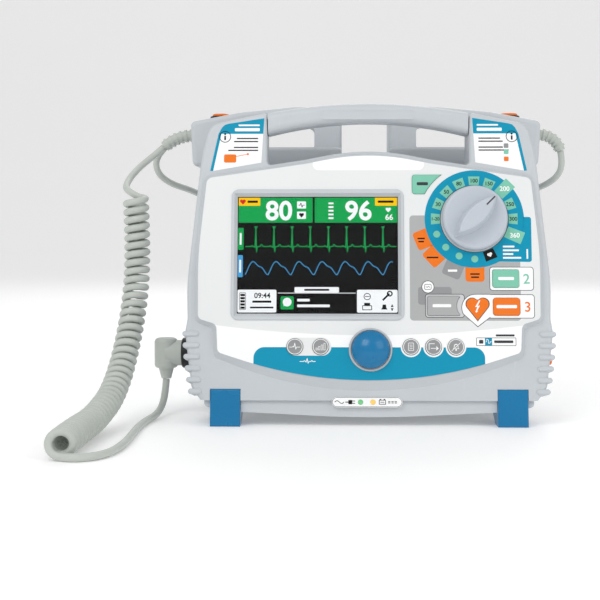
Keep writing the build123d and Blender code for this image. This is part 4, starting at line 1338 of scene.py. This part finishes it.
# ---- Small fittings ------------------------------------------------------------------------------
class DEFIB_OT_screws(bpy.types.Operator):
    """Sets the housing screws in the back and the plugs in the front feet"""

    bl_idname = "defib.screws"
    bl_label = "Screws and plugs"

    def execute(self, context):
        low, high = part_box("rear_shell")
        back = [(x, z) for x in (-126, 126) for z in (30, 176)] + [(0, 112), (0, 176)]
        boss = [(3.0, -0.3), (3.0, 0.5), (3.4, 0.9), (4.4, 0.9), (4.9, 0.4), (4.9, -0.3)]
        heads, rings = bmesh.new(), bmesh.new()
        for x, z in back:
            screw_head(heads, wall_place((x * MM, high.y - 0.2 * MM, z * MM), (-1, 0, 0), (0, 0, 1)))
            place = wall_place((x * MM, high.y, z * MM), (-1, 0, 0), (0, 0, 1))
            lathe(rings, place, boss, 36)
        finished("rear_screws", heads, material("steel"))
        finished("rear_screw_bosses", rings, material("shell"))
        feet = bmesh.new()
        for node in ("front_foot_left", "front_foot_right"):
            low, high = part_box(node)
            for reach in (0.35, 0.7):
                spot = ((low.x + high.x) / 2, low.y + (high.y - low.y) * reach, 0.4 * MM)
                place = wall_place(spot, (1, 0, 0), (0, -1, 0))
                lathe(feet, place, [(0.0, 0.0), (2.6, 0.0), (3.0, 0.2), (3.0, -1.0)], 24)
        finished("foot_plugs", feet, material("black_rubber"))
        return {"FINISHED"}


class DEFIB_OT_rear_labels(bpy.types.Operator):
    """Prints the plain plate on the back and the mark on the battery"""

    bl_idname = "defib.rear_labels"
    bl_label = "Rear labels"

    def execute(self, context):
        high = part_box("rear_shell")[1]
        place = wall_place((0, high.y, 0), (-1, 0, 0), (0, 0, 1))
        Print(place, 0, 0.0, 0.12).fill(box(-56, 56, 96, 118, 1.5)).ink("rear_plate", "white")
        bars = Print(place, 0, 0.13)
        for i in range(4):
            bars.fill(box(-52, 8 + 9 * (i % 2), 112 - 4.2 * i, 113.8 - 4.2 * i, 0.6))
        bars.ring(box(30, 52, 99.5, 114.5, 0.8), box(30.5, 51.5, 100.0, 114.0, 0.5))
        bars.fill(moved(bolt((0, 0), 10.0), (41, 107.2)))
        bars.ink("rear_plate_marks", "line")
        low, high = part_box("battery_pack")
        spot = ((low.x + high.x) / 2, high.y, low.z)
        cell = Print(wall_place(spot, (-1, 0, 0), (0, 0, 1)), 0)
        middle = (0, 6.6)
        cell.ring(moved(box(-7, 7, -3.2, 3.2, 0.6), middle), moved(box(-6.4, 6.4, -2.6, 2.6, 0.4), middle))
        cell.fill(*(moved(box(x, x + 2.0, -1.9, 1.9), middle) for x in (-4.4, -1.6, 1.2)))
        cell.piece("battery_mark", material("ink_white"), "battery", "black_plastic")
        return {"FINISHED"}


class DEFIB_OT_knob_details(bpy.types.Operator):
    """Adds the pointer line of the selector"""

    bl_idname = "defib.knob_details"
    bl_label = "Knob details"

    def execute(self, context):
        top = face_span("selector_knob")[1].z
        pointer = Print(FACE, 0, top, 0.12)
        pointer.line(moved([(11.0, 0.0), (20.5, 0.0)], SELECTOR, 45), 1.1)
        pointer.piece("selector_pointer", material("ink_line"), "selector", "housing")
        return {"FINISHED"}


class DEFIB_OT_paddle_details(bpy.types.Operator):
    """Adds the shoe's marks and the charge button's ring to each paddle"""

    bl_idname = "defib.paddle_details"
    bl_label = "Paddle details"

    def execute(self, context):
        for body in ("paddle_left", "paddle_right"):
            self.button_ring(body)
            self.marks(body)
        return {"FINISHED"}

    def button_ring(self, body):
        low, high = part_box(f"{body}_button")
        spot = ((low.x + high.x) / 2, (low.y + high.y) / 2, high.z - 3.4 * MM)
        place = wall_place(spot, (1, 0, 0), (0, 1, 0))
        ring = bmesh.new()
        profile = [(8.35, -3.0), (8.35, 0.9), (8.7, 1.3), (9.6, 1.1), (10.0, 0.2), (10.0, -3.0)]
        lathe(ring, place, profile, 48)
        finished(f"{body}_button_ring", ring, material("black_plastic"), body)

    def marks(self, body):
        """A bar and a heart on the front of the shoe."""
        low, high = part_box(f"{body}_body")
        shoe_low, shoe_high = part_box(f"{body}_adapter")
        spot = ((low.x + high.x) / 2, shoe_low.y, shoe_high.z)
        plate = Print(wall_place(spot, (1, 0, 0), (0, 0, 1)))
        plate.fill(box(-24, 10, -5.6, -3.8, 0.6), heart((18, -4.4), 5.0, 2.4))
        plate.piece(f"{body}_shoe_mark", material("ink_dark_grey"), body, "housing")


class DEFIB_OT_plug_details(bpy.types.Operator):
    """Adds the knurled locking ring of the paddle socket"""

    bl_idname = "defib.plug_details"
    bl_label = "Plug details"

    def execute(self, context):
        low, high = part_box("paddle_socket")
        spot = (low.x, (low.y + high.y) / 2, (low.z + high.z) / 2)
        place = wall_place(spot, (0, 1, 0), (0, 0, 1)) @ Matrix.Rotation(math.pi, 4, "X")
        ring = bmesh.new()
        radius = (high.z - low.z) / 2 / MM
        steps = 96              # four steps to each tooth
        outer = disc((0, 0), radius, steps)
        valley = disc((0, 0), radius - 0.5, steps)
        outline = [outer[i] if i % 4 in (0, 1) else valley[i] for i in range(steps)]
        inner = disc((0, 0), radius - 1.6, steps)
        rings = [[ring.verts.new(place @ Vector((x, y, z))) for x, y in points]
                 for points, z in ((outline, -8.0), (outline, -2.2), (inner, -2.2), (inner, -8.0))]
        for first, second in zip(rings, rings[1:] + rings[:1]):
            bridge(ring, first, second)
        bmesh.ops.recalc_face_normals(ring, faces=ring.faces)
        finished("socket_knurl", ring, material("black_plastic"))
        return {"FINISHED"}


# ---- Stage ---------------------------------------------------------------------------------------
CAMERA_ACROSS, CAMERA_UP = -0.0332, 0.1556
CAMERA_TILT, CAMERA_TURN = 87.0, 1.283       # degrees from looking straight down, and to the left
SKY = 0.62                  # strength of the even light from all round
FLOOR_GLOW = 0.16
LAMPS = (                   # name, place, size, share of the main lamp's power, aim
    ("key_light", (-1.1, -1.7, 1.9), 1.4, 1.0, (0, 0, 0.12)),
    ("fill_light", (1.7, -1.4, 1.3), 1.6, 0.5, (0, 0, 0.12)),
    ("back_light", (0.3, 1.9, 1.8), 1.6, 0.7, (0, 0, 0.1)),
)


class DEFIB_OT_stage(bpy.types.Operator):
    """Sets the floor, the lamps and the camera"""

    bl_idname = "defib.stage"
    bl_label = "Stage"

    def execute(self, context):
        chosen = settings(context).stage
        self.floor(chosen)
        self.world()
        for name, spot, size, share, aim in LAMPS:
            self.lamp(name, Vector(spot), size, chosen.light * share, Vector(aim))
        camera = placed("camera", bpy.data.cameras.new("camera"))
        camera.data.lens = chosen.lens
        camera.data.sensor_width = 36
        camera.location = (CAMERA_ACROSS, FRONT_Y - chosen.distance, CAMERA_UP)
        camera.rotation_euler = (math.radians(CAMERA_TILT), 0, math.radians(CAMERA_TURN))
        context.scene.camera = camera
        context.scene.view_settings.view_transform = "Standard"
        return {"FINISHED"}

    def floor(self, chosen):
        """A pale floor whose far edge rises in a wide curve."""
        flat, rise, half = 3.4, 2.2, 6.0
        profile = [(-4.0, 0.0), (flat, 0.0)]
        profile += [(flat + rise * math.sin(a), rise - rise * math.cos(a))
                    for a in (math.pi / 2 * i / 12 for i in range(1, 13))]
        profile.append((flat + rise, 5.0))
        mesh = bmesh.new()
        rows = [[mesh.verts.new((x, y, z)) for x in (-half, half)] for y, z in profile]
        for first, second in zip(rows, rows[1:]):
            mesh.faces.new((first[0], first[1], second[1], second[0]))
        finish = Finish("floor")
        cloud = finish.noise(1.5, 2.0)
        colour = tuple(chosen.floor)
        tone = finish.mix(cloud, shade(colour, 0.985), colour)
        finish.set(Base_Color=tone, Roughness=0.6, Emission_Color=tone, Emission_Strength=FLOOR_GLOW)
        data = mesh_data("floor", mesh, finish.material)
        data.shade_smooth()
        placed("floor", data)

    def world(self):
        world = bpy.data.worlds.new("studio")
        world.use_nodes = True
        sky = world.node_tree.nodes["Background"]
        sky.inputs["Color"].default_value = (1.0, 1.0, 1.0, 1.0)
        sky.inputs["Strength"].default_value = SKY
        bpy.context.scene.world = world

    def lamp(self, name, spot, size, power, aim):
        data = bpy.data.lights.new(name, "AREA")
        data.energy = power
        data.size = size
        lamp = placed(name, data)
        lamp.location = spot
        lamp.rotation_euler = (aim - spot).to_track_quat("-Z", "Y").to_euler()


# ---- Panel and registration ----------------------------------------------------------------------
STEPS = (
    DEFIB_OT_finishes, DEFIB_OT_main_cord, DEFIB_OT_link_cord, DEFIB_OT_dress, DEFIB_OT_dial,
    DEFIB_OT_panel_print, DEFIB_OT_key_print, DEFIB_OT_display, DEFIB_OT_ear_labels,
    DEFIB_OT_status_print, DEFIB_OT_screws, DEFIB_OT_rear_labels, DEFIB_OT_knob_details,
    DEFIB_OT_paddle_details, DEFIB_OT_plug_details, DEFIB_OT_stage,
)
GROUPS = (HousingSettings, PrintSettings, CordSettings, ScreenSettings, StageSettings,
          DefibrillatorSettings)


class DEFIB_PT_panel(bpy.types.Panel):
    """Lists the settings and the operators"""

    bl_idname = "DEFIB_PT_panel"
    bl_label = "Defibrillator"
    bl_space_type = "VIEW_3D"
    bl_region_type = "UI"
    bl_category = "Defibrillator"

    def draw(self, context):
        chosen = settings(context)
        for group in (chosen.housing, chosen.prints, chosen.cords, chosen.screen, chosen.stage):
            column = self.layout.column(align=True)
            for name in group.__annotations__:
                column.prop(group, name)
        for step in STEPS:
            self.layout.operator(step.bl_idname)


def register():
    for item in (*GROUPS, *STEPS, DEFIB_PT_panel):
        bpy.utils.register_class(item)
    bpy.types.Scene.defibrillator = PointerProperty(type=DefibrillatorSettings)


def unregister():
    del bpy.types.Scene.defibrillator
    for item in (DEFIB_PT_panel, *STEPS[::-1], *GROUPS[::-1]):
        bpy.utils.unregister_class(item)


def main():
    register()
    for step in STEPS:
        group, name = step.bl_idname.split(".")
        getattr(getattr(bpy.ops, group), name)()


if __name__ == "__main__":
    main()
